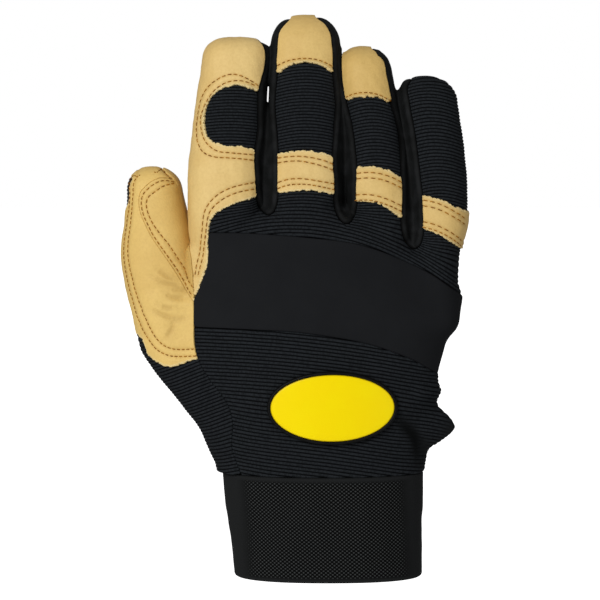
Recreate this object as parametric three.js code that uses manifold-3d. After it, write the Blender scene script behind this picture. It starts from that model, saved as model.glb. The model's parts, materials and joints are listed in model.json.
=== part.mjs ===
// A right-hand work glove in the shape that a hand gives it: fingers up (+Z), the back of the
// hand towards -Y, the thumb towards -X. Millimetres. The origin is the centre of the cuff's mouth.
// One hollow form of the hand is cut along its seams into the glove's panels.
import * as THREE from 'three';
import { mergeVertices } from 'three/addons/utils/BufferGeometryUtils.js';
import Module from 'manifold-3d';

const wasm = await Module();
wasm.setup();

// Driving sizes
const CUFF_HEIGHT = 45.5;
const CUFF_MOUTH_WIDTH = 81.5;
const CUFF_TOP_WIDTH = 87;
const CUFF_LEAN = 2.4;
const CUFF_DEPTH = 50;
const CUFF_WALL = 2.2;
const PALM_HEIGHT = 109;
const PALM_WIDTH = 118;
const PALM_DEPTH = 40;
const FINGER_LENGTH = 86.5;
const FINGER_WIDTH = 33;
const FINGER_DEPTH = 25;
const FINGER_CURL = 15;
const THUMB_WIDTH = 33;
const THUMB_DEPTH = 29;
const THUMB_FORWARD = 9;
const HAND_SHIFT = 1.5;
const KNUCKLE_SLANT = 0.168;
const KNUCKLE_BOW = 0.65;
const SEAM_RISE = 1.8;

// Walls and seams
const FABRIC_WALL = 1.4;
const LEATHER_WALL = 1.6;
const LEATHER_PROUD = 0.7;
const NEOPRENE_PROUD = 0.9;
const STRIP_THICKNESS = 1;
const BADGE_THICKNESS = 2.1;
const BADGE_RIM = 2.2;
const BADGE_WIDTH = 56;
const BADGE_HEIGHT = 31.4;
const BADGE_FACE_DROP = 0.5;
const BADGE_FLOOR = 0.8;
const GAP = 0.3;
const WELD = 1e-4;
const PALM_SEAM = 8;
const FOURCHETTE_ROOT = 11.5;
const FOURCHETTE_TIP = 6.8;
const TONGUE_WIDTH = 12;
const THUMB_SEAM = 5.5;

// The fold that stands out beside the wrist
const FOLD_REACH = 7.6;
const FOLD_HEIGHT = 17;
const FOLD_DEPTH = 14;

// Facets
const BODY_SIDES = 32;
const LIMB_SIDES = 16;
const DOME_RINGS = 3;
const DOME_OPEN = 0.35;
const CURL_STEPS = 6;
const BADGE_SIDES = 36;
const FOLD_SIDES = 10;
const FOLD_RINGS = 7;
const FORK_SHARE = 0.72;
const ROUNDNESS = 2.35;
const FAR = 4 * PALM_WIDTH;

// Shares of the hand's width and height to millimetres. Up 0 is the cuff's top edge, 1 the fork
// of the middle and ring fingers, and 2 the middle finger's tip.
const across = (share) => share * PALM_WIDTH - HAND_SHIFT;
const up = (share) => CUFF_HEIGHT
  + (share <= 1 ? share * PALM_HEIGHT : PALM_HEIGHT + (share - 1) * FINGER_LENGTH);
const place = ([x, z]) => new THREE.Vector2(across(x), up(z) + SEAM_RISE);

// Sections of each limb, from its root inside the palm to the base of its rounded tip.
// half and deep are shares of the limb's own width and depth.
const LIMBS = {
  index: { dome: 0.125, blunt: 3, rows: [
    { up: 0.780, across: -0.352, half: 0.400, deep: 0.52 },
    { up: 0.985, across: -0.361, half: 0.478, deep: 0.60 },
    { up: 1.160, across: -0.361, half: 0.482, deep: 0.58 },
    { up: 1.450, across: -0.347, half: 0.468, deep: 0.52 },
    { up: 1.770, across: -0.330, half: 0.442, deep: 0.46 },
  ] },
  middle: { dome: 0.145, blunt: 2.2, rows: [
    { up: 0.800, across: -0.083, half: 0.400, deep: 0.52 },
    { up: 0.985, across: -0.081, half: 0.520, deep: 0.61 },
    { up: 1.200, across: -0.077, half: 0.520, deep: 0.59 },
    { up: 1.520, across: -0.070, half: 0.494, deep: 0.53 },
    { up: 1.860, across: -0.071, half: 0.455, deep: 0.46 },
  ] },
  ring: { dome: 0.13, blunt: 2.3, rows: [
    { up: 0.760, across: 0.198, half: 0.340, deep: 0.50 },
    { up: 0.940, across: 0.202, half: 0.428, deep: 0.60 },
    { up: 1.200, across: 0.192, half: 0.412, deep: 0.57 },
    { up: 1.480, across: 0.171, half: 0.366, deep: 0.51 },
    { up: 1.720, across: 0.151, half: 0.340, deep: 0.45 },
  ] },
  pinky: { dome: 0.125, blunt: 2.3, foot: 0.25, rows: [
    { up: 0.620, across: 0.402, half: 0.300, deep: 0.46 },
    { up: 0.840, across: 0.405, half: 0.345, deep: 0.56 },
    { up: 1.060, across: 0.416, half: 0.370, deep: 0.54 },
    { up: 1.330, across: 0.402, half: 0.380, deep: 0.50 },
    { up: 1.585, across: 0.376, half: 0.382, deep: 0.46 },
  ] },
};
const THUMB = { dome: 0.128, blunt: 2.3, rows: [
  { up: 0.030, across: -0.340, half: 0.260, deep: 0.44, forward: 0.00 },
  { up: 0.150, across: -0.358, half: 0.290, deep: 0.47, forward: 0.05 },
  { up: 0.262, across: -0.425, half: 0.355, deep: 0.50, forward: 0.20 },
  { up: 0.389, across: -0.495, half: 0.450, deep: 0.54, forward: 0.40 },
  { up: 0.484, across: -0.535, half: 0.505, deep: 0.55, forward: 0.60 },
  { up: 0.675, across: -0.573, half: 0.515, deep: 0.54, forward: 0.80 },
  { up: 0.873, across: -0.614, half: 0.475, deep: 0.50, forward: 0.95 },
  { up: 1.000, across: -0.618, half: 0.405, deep: 0.46, forward: 1.00 },
  { up: 1.138, across: -0.622, half: 0.356, deep: 0.42, forward: 1.00 },
] };
// The hand's own sections: left and right are shares of the hand's width.
const BODY = { dome: 0.085, blunt: 2, rows: [
  { up: 0.000, left: -0.378, right: 0.364, deep: 0.580 },
  { up: 0.120, left: -0.425, right: 0.383, deep: 0.560 },
  { up: 0.262, left: -0.462, right: 0.410, deep: 0.530 },
  { up: 0.389, left: -0.487, right: 0.422, deep: 0.505 },
  { up: 0.520, left: -0.494, right: 0.440, deep: 0.490 },
  { up: 0.675, left: -0.494, right: 0.456, deep: 0.475 },
  { up: 0.830, left: -0.494, right: 0.474, deep: 0.455 },
  { up: 0.960, left: -0.490, right: 0.492, deep: 0.410 },
] };
const SLANT_FROM = 0.45;
const SLANT_FULL = 0.95;

// Seams on the back of the hand, as [across, up]
const PANEL_TOP = [[-0.62, 0.937], [-0.44, 0.94], [-0.238, 0.937], [0.029, 0.913], [0.168, 0.881],
  [0.311, 0.817], [0.399, 0.766], [0.495, 0.686], [0.62, 0.57]];
const PANEL_FOOT = [[-0.62, 0.566], [-0.37, 0.566], [-0.253, 0.563], [-0.11, 0.556], [0.029, 0.536],
  [0.168, 0.504], [0.311, 0.444], [0.407, 0.377], [0.62, 0.22]];
const LEATHER_EDGE = [[-0.231, 1.064], [-0.264, 1.061], [-0.326, 1.054], [-0.377, 1.035],
  [-0.410, 1.005], [-0.425, 0.960], [-0.432, 0.913], [-0.436, 0.825], [-0.451, 0.770],
  [-0.469, 0.706], [-0.476, 0.675]];
const THUMB_LINE = [[-0.502, 1.30], [-0.502, 0.930], [-0.494, 0.893], [-0.483, 0.825],
  [-0.477, 0.735], [-0.476, 0.675], [-0.476, 0.516], [-0.462, 0.440], [-0.421, 0.361],
  [-0.359, 0.274], [-0.337, 0.190], [-0.341, 0.111], [-0.333, 0.060], [-0.304, -0.02]];
const THUMB_FOOT = [[-0.80, 0.590], [-0.678, 0.524], [-0.641, 0.448], [-0.604, 0.424],
  [-0.560, 0.409], [-0.461, 0.444], [-0.40, 0.465]];
const THUMB_WING = [[-0.44, 1.220], [-0.560, 1.187], [-0.612, 1.170], [-0.652, 1.138],
  [-0.670, 1.088], [-0.670, 1.020], [-0.648, 0.944], [-0.604, 0.877], [-0.560, 0.810],
  [-0.509, 0.722], [-0.476, 0.675]];
const WINDOW = [[-0.242, 1.636], [-0.280, 1.645], [-0.317, 1.652], [-0.360, 1.642],
  [-0.398, 1.612], [-0.425, 1.562], [-0.437, 1.504], [-0.436, 1.448], [-0.427, 1.396],
  [-0.398, 1.367], [-0.360, 1.350], [-0.317, 1.353], [-0.280, 1.342], [-0.242, 1.325]];
// Lower edges of the tip caps and both edges of the knuckle strips, each over its own finger
const CAP_EDGE = {
  middle: [[-0.215, 1.706], [-0.172, 1.721], [-0.130, 1.757], [-0.071, 1.767], [-0.017, 1.757],
    [0.029, 1.727], [0.070, 1.712]],
  ring: [[0.050, 1.560], [0.076, 1.576], [0.105, 1.586], [0.154, 1.592], [0.204, 1.586],
    [0.248, 1.553], [0.290, 1.530]],
};
const STRIPS = {
  middle: { top: [[-0.215, 1.300], [-0.125, 1.324], [-0.071, 1.329], [-0.017, 1.318], [0.070, 1.280]],
    foot: [[-0.215, 1.100], [-0.140, 1.126], [-0.076, 1.133], [-0.017, 1.127], [0.070, 1.094]] },
  ring: { top: [[0.070, 1.246], [0.118, 1.248], [0.180, 1.248], [0.233, 1.226], [0.320, 1.150]],
    foot: [[0.070, 1.090], [0.110, 1.081], [0.168, 1.074], [0.203, 1.063], [0.320, 0.960]] },
  pinky: { top: [[0.320, 1.120], [0.362, 1.108], [0.414, 1.089], [0.467, 1.054], [0.600, 0.965]],
    foot: [[0.320, 0.960], [0.362, 0.952], [0.414, 0.930], [0.467, 0.893], [0.600, 0.790]] },
};
const FORKS = { indexMiddle: [[-0.226, 0.90], [-0.226, 1.30], [-0.209, 1.62], [-0.204, 2.2]],
  middleRing: [[0.0735, 0.80], [0.0735, 1.30], [0.068, 1.62], [0.066, 2.2]],
  ringPinky: [[0.316, 0.75], [0.316, 1.00], [0.300, 1.33], [0.262, 1.62], [0.240, 2.2]] };
const BADGE_AT = [0.026, 0.259];
const FOLD_AT = [0.418, 0.150];
const BELOW_CUFF = -0.4;
const PAST_TIPS = 2.4;

// The value of one column at a height between the rows.
function between(rows, share, column) {
  const next = rows.findIndex((row) => row.up > share);
  if (next < 1) return (next ? rows.at(-1) : rows[0])[column];
  const [a, b] = [rows[next - 1], rows[next]];
  return THREE.MathUtils.mapLinear(share, a.up, b.up, a[column], b[column]);
}

// A closed geometry as a solid that can be cut and joined.
function solidOf(geometry) {
  const bare = new THREE.BufferGeometry()
    .setAttribute('position', geometry.getAttribute('position'))
    .setIndex(geometry.getIndex());
  const merged = mergeVertices(bare, WELD);
  return new wasm.Manifold(new wasm.Mesh({ numProp: 3,
    vertProperties: new Float32Array(merged.getAttribute('position').array),
    triVerts: new Uint32Array(merged.getIndex().array) }));
}

function meshOf(name, solid, finish) {
  const made = solid.getMesh();
  const geometry = new THREE.BufferGeometry()
    .setAttribute('position', new THREE.BufferAttribute(new Float32Array(made.vertProperties), 3))
    .setIndex(new THREE.BufferAttribute(new Uint32Array(made.triVerts), 1));
  const flat = geometry.toNonIndexed();
  flat.computeVertexNormals();
  const mesh = new THREE.Mesh(flat, finish);
  mesh.name = name;
  return mesh;
}

// A closed skin over rings that each have the same number of points.
function skin(rings) {
  const sides = rings[0].length;
  const points = rings.flat();
  const index = [];
  rings.slice(1).forEach((_, r) => {
    for (let k = 0; k < sides; k += 1) {
      const a = r * sides + k;
      const b = r * sides + ((k + 1) % sides);
      index.push(a, b, b + sides, a, b + sides, a + sides);
    }
  });
  const middleOf = (ring) => ring.reduce((sum, p) => sum.add(p), new THREE.Vector3())
    .divideScalar(sides);
  [rings[0], rings.at(-1)].forEach((ring, end) => {
    const start = end ? (rings.length - 1) * sides : 0;
    points.push(middleOf(ring));
    for (let k = 0; k < sides; k += 1) {
      const pair = [start + k, start + ((k + 1) % sides)];
      index.push(...(end ? pair : pair.reverse()), points.length - 1);
    }
  });
  const geometry = new THREE.BufferGeometry().setFromPoints(points);
  geometry.setIndex(index);
  return geometry;
}

// One oval ring. lower gives how far a point sinks below the ring's own height.
function ovalRing(centre, halfWidth, halfDepth, sides, lower = () => 0) {
  return Array.from({ length: sides }, (_, k) => {
    const angle = (2 * Math.PI * (k + 0.5)) / sides;
    const bend = (value) => Math.sign(value) * Math.abs(value) ** (2 / ROUNDNESS);
    const x = centre.x + halfWidth * bend(Math.cos(angle));
    const y = centre.y + halfDepth * bend(Math.sin(angle));
    return new THREE.Vector3(x, y, centre.z - lower(x));
  });
}

// Rows of { centre, half, deep } with a rounded end, grown outwards by grow.
function limbSolid(rows, { dome, blunt }, grow, sides, lower) {
  const rings = rows.map((row) => (
    ovalRing(row.centre, row.half + grow, row.deep + grow, sides, (x) => lower(x, row.centre.z))));
  const last = rows.at(-1);
  const rise = rows.at(-1).centre.clone().sub(rows.at(-2).centre);
  rise.divideScalar(rise.z);
  for (let ring = 1; ring <= DOME_RINGS; ring += 1) {
    const angle = (Math.PI / 2) * (ring / (DOME_RINGS + DOME_OPEN));
    const inward = Math.cos(angle) ** (2 / blunt);
    const height = (dome + grow) * Math.sin(angle) ** (2 / blunt);
    rings.push(ovalRing(last.centre.clone().addScaledVector(rise, height),
      (last.half + grow) * inward, (last.deep + grow) * inward, sides,
      (x) => lower(x, last.centre.z)));
  }
  return solidOf(skin(rings));
}

const curlAt = (height) => FINGER_CURL
  * (Math.max(0, height - up(1)) / FINGER_LENGTH) ** 2;
const level = () => 0;

function fingerSolid({ rows, dome, blunt }, grow) {
  const made = rows.map((row) => ({
    centre: new THREE.Vector3(across(row.across), curlAt(up(row.up)), up(row.up)),
    half: row.half * FINGER_WIDTH, deep: row.deep * FINGER_DEPTH }));
  return limbSolid(made, { dome: dome * FINGER_LENGTH, blunt }, grow, LIMB_SIDES, level);
}

function thumbSolid(grow) {
  const made = THUMB.rows.map((row) => ({
    centre: new THREE.Vector3(across(row.across), row.forward * THUMB_FORWARD, up(row.up)),
    half: row.half * THUMB_WIDTH, deep: row.deep * THUMB_DEPTH }));
  const end = { dome: THUMB.dome * FINGER_LENGTH, blunt: THUMB.blunt };
  return limbSolid(made, end, grow, LIMB_SIDES, level);
}

const knuckleDrop = (x) => KNUCKLE_SLANT * x + (KNUCKLE_BOW * x * x) / PALM_WIDTH;
function slanted(x, z) {
  const ramp = THREE.MathUtils.smoothstep(z, up(SLANT_FROM), up(SLANT_FULL));
  return knuckleDrop(x) * ramp;
}

// The palm and wrist. below lengthens it past the cuff's edge, so that a hollow opens there.
function bodySolid(grow, below) {
  const made = BODY.rows.map((row) => ({
    centre: new THREE.Vector3(across((row.left + row.right) / 2), 0, up(row.up)),
    half: ((row.right - row.left) / 2) * PALM_WIDTH, deep: row.deep * PALM_DEPTH }));
  if (below) {
    const first = made[0];
    made.unshift({ ...first, centre: first.centre.clone().setZ(first.centre.z - below) });
  }
  const end = { dome: BODY.dome * PALM_HEIGHT, blunt: BODY.blunt };
  return limbSolid(made, end, grow, BODY_SIDES, slanted);
}

function foldSolid(grow) {
  const at = place(FOLD_AT);
  const ball = new THREE.SphereGeometry(1, FOLD_SIDES, FOLD_RINGS);
  ball.scale(FOLD_REACH + grow, FOLD_DEPTH / 2 + grow, FOLD_HEIGHT / 2 + grow);
  ball.translate(at.x, 0, at.y);
  return solidOf(ball);
}

// The whole hand, grown outwards by grow.
const forms = new Map();
function hand(grow, below = 0) {
  const key = `${grow} ${below}`;
  if (!forms.has(key)) {
    const fingers = Object.values(LIMBS).map((limb) => fingerSolid(limb, grow));
    forms.set(key, [bodySolid(grow, below), thumbSolid(grow), foldSolid(grow), ...fingers]
      .reduce((sum, part) => sum.add(part)));
  }
  return forms.get(key);
}
const layer = (outer, inner) => hand(outer).subtract(hand(inner, CUFF_HEIGHT / 2));

// Cutting shapes
const corner = (x, z) => new THREE.Vector2(x, z);
const line = (shares) => shares.map(place);
const smooth = (shares) => new THREE.SplineCurve(line(shares)).getPoints(2 * (shares.length - 1));

function prism(points) {
  const geometry = new THREE.ExtrudeGeometry(new THREE.Shape(points),
    { depth: FAR, bevelEnabled: false, steps: 1 });
  geometry.rotateX(Math.PI / 2);
  geometry.translate(0, FAR / 2, 0);
  return solidOf(geometry);
}

// A strip of the gap's width along a seam, cut through from front to back.
function kerf(points) {
  const side = (sign) => points.map((point, i) => {
    const before = points[Math.max(i - 1, 0)];
    const after = points[Math.min(i + 1, points.length - 1)];
    const along = after.clone().sub(before).normalize();
    return corner(point.x - (sign * along.y * GAP) / 2, point.y + (sign * along.x * GAP) / 2);
  });
  return prism([...side(1), ...side(-1).reverse()]);
}

// Everything in front of a surface y = depthAt(z), for all x.
function frontOf(depthAt) {
  const heights = THUMB.rows.filter((row) => row.up < 1).map((row) => up(row.up));
  for (let k = 0; k <= CURL_STEPS; k += 1) heights.push(up(1 + k / CURL_STEPS));
  const edge = heights.map((z) => corner(depthAt(z), z));
  const shape = new THREE.Shape([corner(-FAR, FAR), corner(-FAR, -FAR), corner(edge[0].x, -FAR),
    ...edge, corner(edge.at(-1).x, FAR)]);
  const geometry = new THREE.ExtrudeGeometry(shape, { depth: FAR, bevelEnabled: false, steps: 1 });
  geometry.translate(0, 0, -FAR / 2);
  geometry.applyMatrix4(new THREE.Matrix4().makeBasis(new THREE.Vector3(0, 1, 0),
    new THREE.Vector3(0, 0, 1), new THREE.Vector3(1, 0, 0)));
  return solidOf(geometry);
}

const beside = (edge, x) => prism([...edge, corner(x, edge.at(-1).y), corner(x, edge[0].y)]);
const leftOf = (edge) => beside(edge, -FAR);
const rightOf = (edge) => beside(edge, FAR);
const over = (edge, z) => prism([...edge, corner(edge.at(-1).x, z), corner(edge[0].x, z)]);
const above = (edge) => over(edge, FAR);
const below = (edge) => over(edge, -FAR);
const union = (...solids) => solids.reduce((sum, part) => sum.add(part));

const seamDepth = (z) => THREE.MathUtils.lerp(FOURCHETTE_ROOT, FOURCHETTE_TIP,
  THREE.MathUtils.clamp((z - up(1)) / FINGER_LENGTH, 0, 1));
const backOfHand = frontOf((z) => curlAt(z) - seamDepth(z) - GAP / 2);
const behindBackSeam = frontOf((z) => curlAt(z) - seamDepth(z) + GAP / 2);
const beforePalmSeam = frontOf((z) => curlAt(z) + PALM_SEAM - GAP / 2);
const toPalmSeam = frontOf((z) => curlAt(z) + PALM_SEAM + GAP / 2);
const sides = beforePalmSeam.subtract(behindBackSeam);

function thumbDepth(z) {
  const rows = THUMB.rows;
  const share = z < up(1) ? (z - CUFF_HEIGHT) / PALM_HEIGHT : 1 + (z - up(1)) / FINGER_LENGTH;
  return between(rows, share, 'forward') * THUMB_FORWARD;
}
const thumbFront = frontOf((z) => thumbDepth(z) - THUMB_SEAM - GAP / 2);
const thumbToFront = frontOf((z) => thumbDepth(z) - THUMB_SEAM + GAP / 2);
const thumbToBack = frontOf((z) => thumbDepth(z) + THUMB_SEAM - GAP / 2);
const thumbBack = frontOf((z) => thumbDepth(z) + THUMB_SEAM + GAP / 2);

// Seam lines
const panelTop = line(PANEL_TOP);
const panelFoot = line(PANEL_FOOT);
const leatherEdge = line(LEATHER_EDGE);
const thumbLine = line(THUMB_LINE);
const thumbFoot = line(THUMB_FOOT);
const thumbWing = line(THUMB_WING);
const windowEdge = line(WINDOW);
const forks = Object.fromEntries(Object.entries(FORKS).map(([name, shares]) => [name, line(shares)]));
const centreLine = ({ rows, foot }) => [[foot ?? rows[0].across, BELOW_CUFF],
  ...rows.map((row) => [row.across, row.up]), [rows.at(-1).across, PAST_TIPS]].map(place);

// The straight way down from the fork of index and middle finger to where the leather's edge starts
const indexRight = [...leatherEdge.slice().reverse(), ...forks.indexMiddle.slice(2)];
const leatherLine = [...thumbLine.filter((p) => p.y < leatherEdge.at(-1).y - GAP).reverse(),
  ...indexRight];

const thumbZone = leftOf(thumbLine);
const thumbKerf = kerf(thumbLine);
const pinkySide = rightOf(centreLine(LIMBS.pinky));
const indexSide = leftOf(centreLine(LIMBS.index));
const rightOfLeather = rightOf(leatherLine).subtract(kerf(leatherLine));
// Beside the thumb's root the back panels end half way round, and the palm starts there.
const besideThumb = indexSide.intersect(rightOfLeather);
const backPanels = union(backOfHand, beforePalmSeam.intersect(pinkySide),
  besideThumb.intersect(frontOf((z) => curlAt(z) - GAP / 2)));
const palmStart = toPalmSeam.subtract(
  besideThumb.subtract(frontOf((z) => curlAt(z) + GAP / 2)));

// The strip over a fingertip by which the palm's leather reaches the back
function tongue(limb, edge, widen = 0) {
  const tip = limb.rows.at(-1);
  const half = TONGUE_WIDTH / 2 + widen;
  const x = across(tip.across);
  const foot = Math.min(...edge.map((point) => point.y)) - widen;
  return prism([corner(x - half, foot), corner(x + half, foot), corner(x + half, FAR),
    corner(x - half, FAR)]);
}
const capEdges = Object.fromEntries(Object.entries(CAP_EDGE)
  .map(([name, shares]) => [name, smooth(shares)]));
const capOver = (name) => above(capEdges[name]);
const cap = (name) => union(backOfHand.intersect(capOver(name)),
  beforePalmSeam.intersect(tongue(LIMBS[name], capEdges[name])).intersect(capOver(name)));
const indexTip = [place([0, LIMBS.index.rows.at(-1).up])];
const indexTongue = (widen) => tongue(LIMBS.index, indexTip, widen);
const tongues = union(indexTongue(GAP), ...Object.keys(CAP_EDGE)
  .map((name) => tongue(LIMBS[name], capEdges[name], GAP)));

const fabric = layer(0, -FABRIC_WALL);
const leather = layer(LEATHER_PROUD, LEATHER_PROUD - LEATHER_WALL);
const neoprene = layer(NEOPRENE_PROUD, -FABRIC_WALL);
const overlay = (thickness) => layer(GAP + thickness, GAP);

const overLevel = (z) => above([corner(-FAR / 2, z), corner(FAR / 2, z)]);
const aboveCuff = overLevel(CUFF_HEIGHT + GAP);
const windowKerf = kerf(windowEdge);

const panels = {
  palm_leather: () => leather.subtract(palmStart).subtract(thumbZone).subtract(thumbKerf),
  index_leather: () => leather
    .intersect(union(backOfHand, beforePalmSeam.intersect(indexSide),
      beforePalmSeam.intersect(indexTongue(0))))
    .intersect(leftOf(indexRight)).subtract(kerf(indexRight))
    .subtract(thumbZone).subtract(thumbKerf)
    .subtract(prism(windowEdge)).subtract(windowKerf),
  index_window: () => fabric.intersect(backOfHand).intersect(prism(windowEdge))
    .subtract(windowKerf),
  back_spandex: () => fabric.intersect(backPanels).intersect(rightOfLeather)
    .intersect(above(panelTop)).subtract(kerf(panelTop))
    .subtract(union(...Object.keys(CAP_EDGE).map((name) => (
      capOver(name).add(kerf(capEdges[name])))))),
  knuckle_panel: () => neoprene.intersect(backPanels).intersect(rightOfLeather)
    .intersect(below(panelTop)).intersect(above(panelFoot))
    .subtract(kerf(panelTop)).subtract(kerf(panelFoot)),
  lower_back: () => fabric.intersect(backPanels).intersect(rightOfLeather)
    .intersect(below(panelFoot)).subtract(kerf(panelFoot)),
};
Object.keys(CAP_EDGE).forEach((name) => {
  panels[`${name}_tip_cap`] = () => leather.intersect(cap(name)).subtract(kerf(capEdges[name]));
});

const BETWEEN = { index_middle: ['index', 'middle'], middle_ring: ['middle', 'ring'],
  ring_pinky: ['ring', 'pinky'] };
Object.entries(BETWEEN).forEach(([name, [left, right]]) => {
  panels[`fourchette_${name}`] = () => fabric.intersect(sides).subtract(tongues)
    .intersect(rightOf(centreLine(LIMBS[left]))).intersect(leftOf(centreLine(LIMBS[right])))
    .intersect(overLevel(up(FORK_SHARE)))
    .subtract(kerf(centreLine(LIMBS[left]))).subtract(kerf(centreLine(LIMBS[right])));
});

const FINGER_SPAN = { middle: ['indexMiddle', 'middleRing'], ring: ['middleRing', 'ringPinky'],
  pinky: ['ringPinky', null] };
Object.entries(STRIPS).forEach(([name, { top, foot }]) => {
  const [left, right] = FINGER_SPAN[name];
  panels[`${name}_knuckle_strip`] = () => {
    let strip = overlay(STRIP_THICKNESS).intersect(backPanels)
      .intersect(below(smooth(top))).intersect(above(smooth(foot)))
      .intersect(rightOf(forks[left]));
    if (right) strip = strip.intersect(leftOf(forks[right]));
    return strip;
  };
});

const thumbCentre = centreLine(THUMB);
const outerSide = leftOf(thumbCentre).subtract(kerf(thumbCentre));
const outerStrip = outerSide.intersect(thumbToBack).subtract(thumbToFront);
const wing = rightOf(thumbWing);
const inThumb = (solid) => solid.intersect(thumbZone).subtract(thumbKerf);
const overFoot = above([corner(-FAR, thumbFoot[0].y), ...thumbFoot]);
const footKerf = kerf([corner(-FAR, thumbFoot[0].y), ...thumbFoot]);
Object.assign(panels, {
  thumb_leather: () => inThumb(leather).intersect(thumbFront).intersect(overFoot)
    .subtract(wing).subtract(kerf(thumbWing)).subtract(footKerf),
  thumb_inner_leather: () => inThumb(leather).intersect(overFoot).subtract(footKerf)
    .intersect(union(
      wing.intersect(thumbFront),
      wing.intersect(rightOf(thumbCentre)),
      rightOf(thumbCentre).subtract(thumbToFront),
      overFoot.subtract(thumbBack),
    )).subtract(kerf(thumbWing).intersect(thumbToFront)),
  thumb_side_spandex: () => inThumb(fabric)
    .subtract(overFoot.subtract(outerStrip))
    .subtract(footKerf.subtract(outerStrip)),
});

// The woven elastic cuff: an oval tube, open at both ends.
function cuffSolid(grow, overrun) {
  const ring = (share) => {
    const width = THREE.MathUtils.lerp(CUFF_MOUTH_WIDTH, CUFF_TOP_WIDTH, share);
    const centre = new THREE.Vector3(-CUFF_LEAN * share, 0, CUFF_HEIGHT * share);
    return ovalRing(centre, width / 2 + grow, CUFF_DEPTH / 2 + grow, BODY_SIDES);
  };
  return solidOf(skin([ring(-overrun), ring(0.5), ring(1 + overrun)]));
}

// The oval badge: a rimmed plate that follows the back of the hand, and its face let into it.
function oval(width, height) {
  const at = place(BADGE_AT);
  return new THREE.EllipseCurve(at.x, at.y, width / 2, height / 2).getPoints(BADGE_SIDES).slice(0, -1);
}
const face = { width: BADGE_WIDTH - 2 * BADGE_RIM, height: BADGE_HEIGHT - 2 * BADGE_RIM };
const badgeTop = GAP + BADGE_THICKNESS;

function badgePlate() {
  const pocket = layer(badgeTop + GAP, GAP + BADGE_FLOOR).intersect(prism(oval(face.width, face.height)));
  return overlay(BADGE_THICKNESS).intersect(backOfHand)
    .intersect(prism(oval(BADGE_WIDTH, BADGE_HEIGHT))).subtract(pocket);
}
function badgeFace() {
  const floor = 2 * GAP + BADGE_FLOOR;
  return layer(badgeTop - BADGE_FACE_DROP, floor).intersect(backOfHand)
    .intersect(prism(oval(face.width - 2 * GAP, face.height - 2 * GAP)));
}

// Materials
const material = (color, roughness) => new THREE.MeshStandardMaterial({ color, roughness });
const LEATHER = material(0xe3c27e, 0.6);
const RIBBED = material(0x16181a, 0.85);
const SMOOTH_KNIT = material(0x141517, 0.8);
const NEOPRENE = material(0x1b1d1e, 0.75);
const ELASTIC = material(0x121313, 0.85);
const BADGE_BLACK = material(0x0a0a0a, 0.45);
const BADGE_YELLOW = material(0xf6d800, 0.4);
const FINISH = { palm_leather: LEATHER, index_leather: LEATHER, index_window: RIBBED,
  back_spandex: RIBBED, knuckle_panel: NEOPRENE, lower_back: RIBBED, middle_tip_cap: LEATHER,
  ring_tip_cap: LEATHER, fourchette_index_middle: SMOOTH_KNIT, fourchette_middle_ring: SMOOTH_KNIT,
  fourchette_ring_pinky: SMOOTH_KNIT, middle_knuckle_strip: LEATHER, ring_knuckle_strip: LEATHER,
  pinky_knuckle_strip: LEATHER, thumb_leather: LEATHER, thumb_inner_leather: LEATHER,
  thumb_side_spandex: RIBBED };

const glove = new THREE.Group();
Object.entries(panels).forEach(([name, make]) => {
  glove.add(meshOf(name, make().intersect(aboveCuff), FINISH[name]));
});
glove.add(meshOf('cuff_band', cuffSolid(0, 0).subtract(cuffSolid(-CUFF_WALL, 1)), ELASTIC));
glove.add(meshOf('badge_plate', badgePlate(), BADGE_BLACK));
glove.add(meshOf('badge_face', badgeFace(), BADGE_YELLOW));

export default glove;
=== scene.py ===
"""A right-hand work glove, filled out as worn: leather, ribbed stretch cloth and a woven cuff.

The hand is one smooth form. Each panel of the glove is cut from its surface along the seams,
turned in at its edges and given its own cloth or leather. Lengths are millimetres until a mesh
is made. Places read from the front view are in its pixels, 600 to a side.
"""
import json
import math

import bpy
import numpy as np
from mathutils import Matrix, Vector


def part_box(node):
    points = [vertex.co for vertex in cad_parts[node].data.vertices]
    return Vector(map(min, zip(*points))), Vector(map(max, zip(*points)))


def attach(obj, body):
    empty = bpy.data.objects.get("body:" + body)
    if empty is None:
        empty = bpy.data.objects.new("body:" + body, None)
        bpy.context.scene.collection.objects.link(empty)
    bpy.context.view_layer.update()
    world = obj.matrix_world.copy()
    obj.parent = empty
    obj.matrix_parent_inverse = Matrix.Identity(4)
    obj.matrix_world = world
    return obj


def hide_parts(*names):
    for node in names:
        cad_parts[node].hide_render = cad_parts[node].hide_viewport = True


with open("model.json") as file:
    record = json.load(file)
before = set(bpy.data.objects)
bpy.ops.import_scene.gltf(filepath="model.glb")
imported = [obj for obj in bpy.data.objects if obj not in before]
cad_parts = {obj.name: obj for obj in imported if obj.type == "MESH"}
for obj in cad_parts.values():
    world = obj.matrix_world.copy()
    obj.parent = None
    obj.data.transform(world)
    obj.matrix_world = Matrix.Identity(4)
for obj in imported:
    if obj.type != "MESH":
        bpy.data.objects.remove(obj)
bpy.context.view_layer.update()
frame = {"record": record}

MM = 0.001

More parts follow.
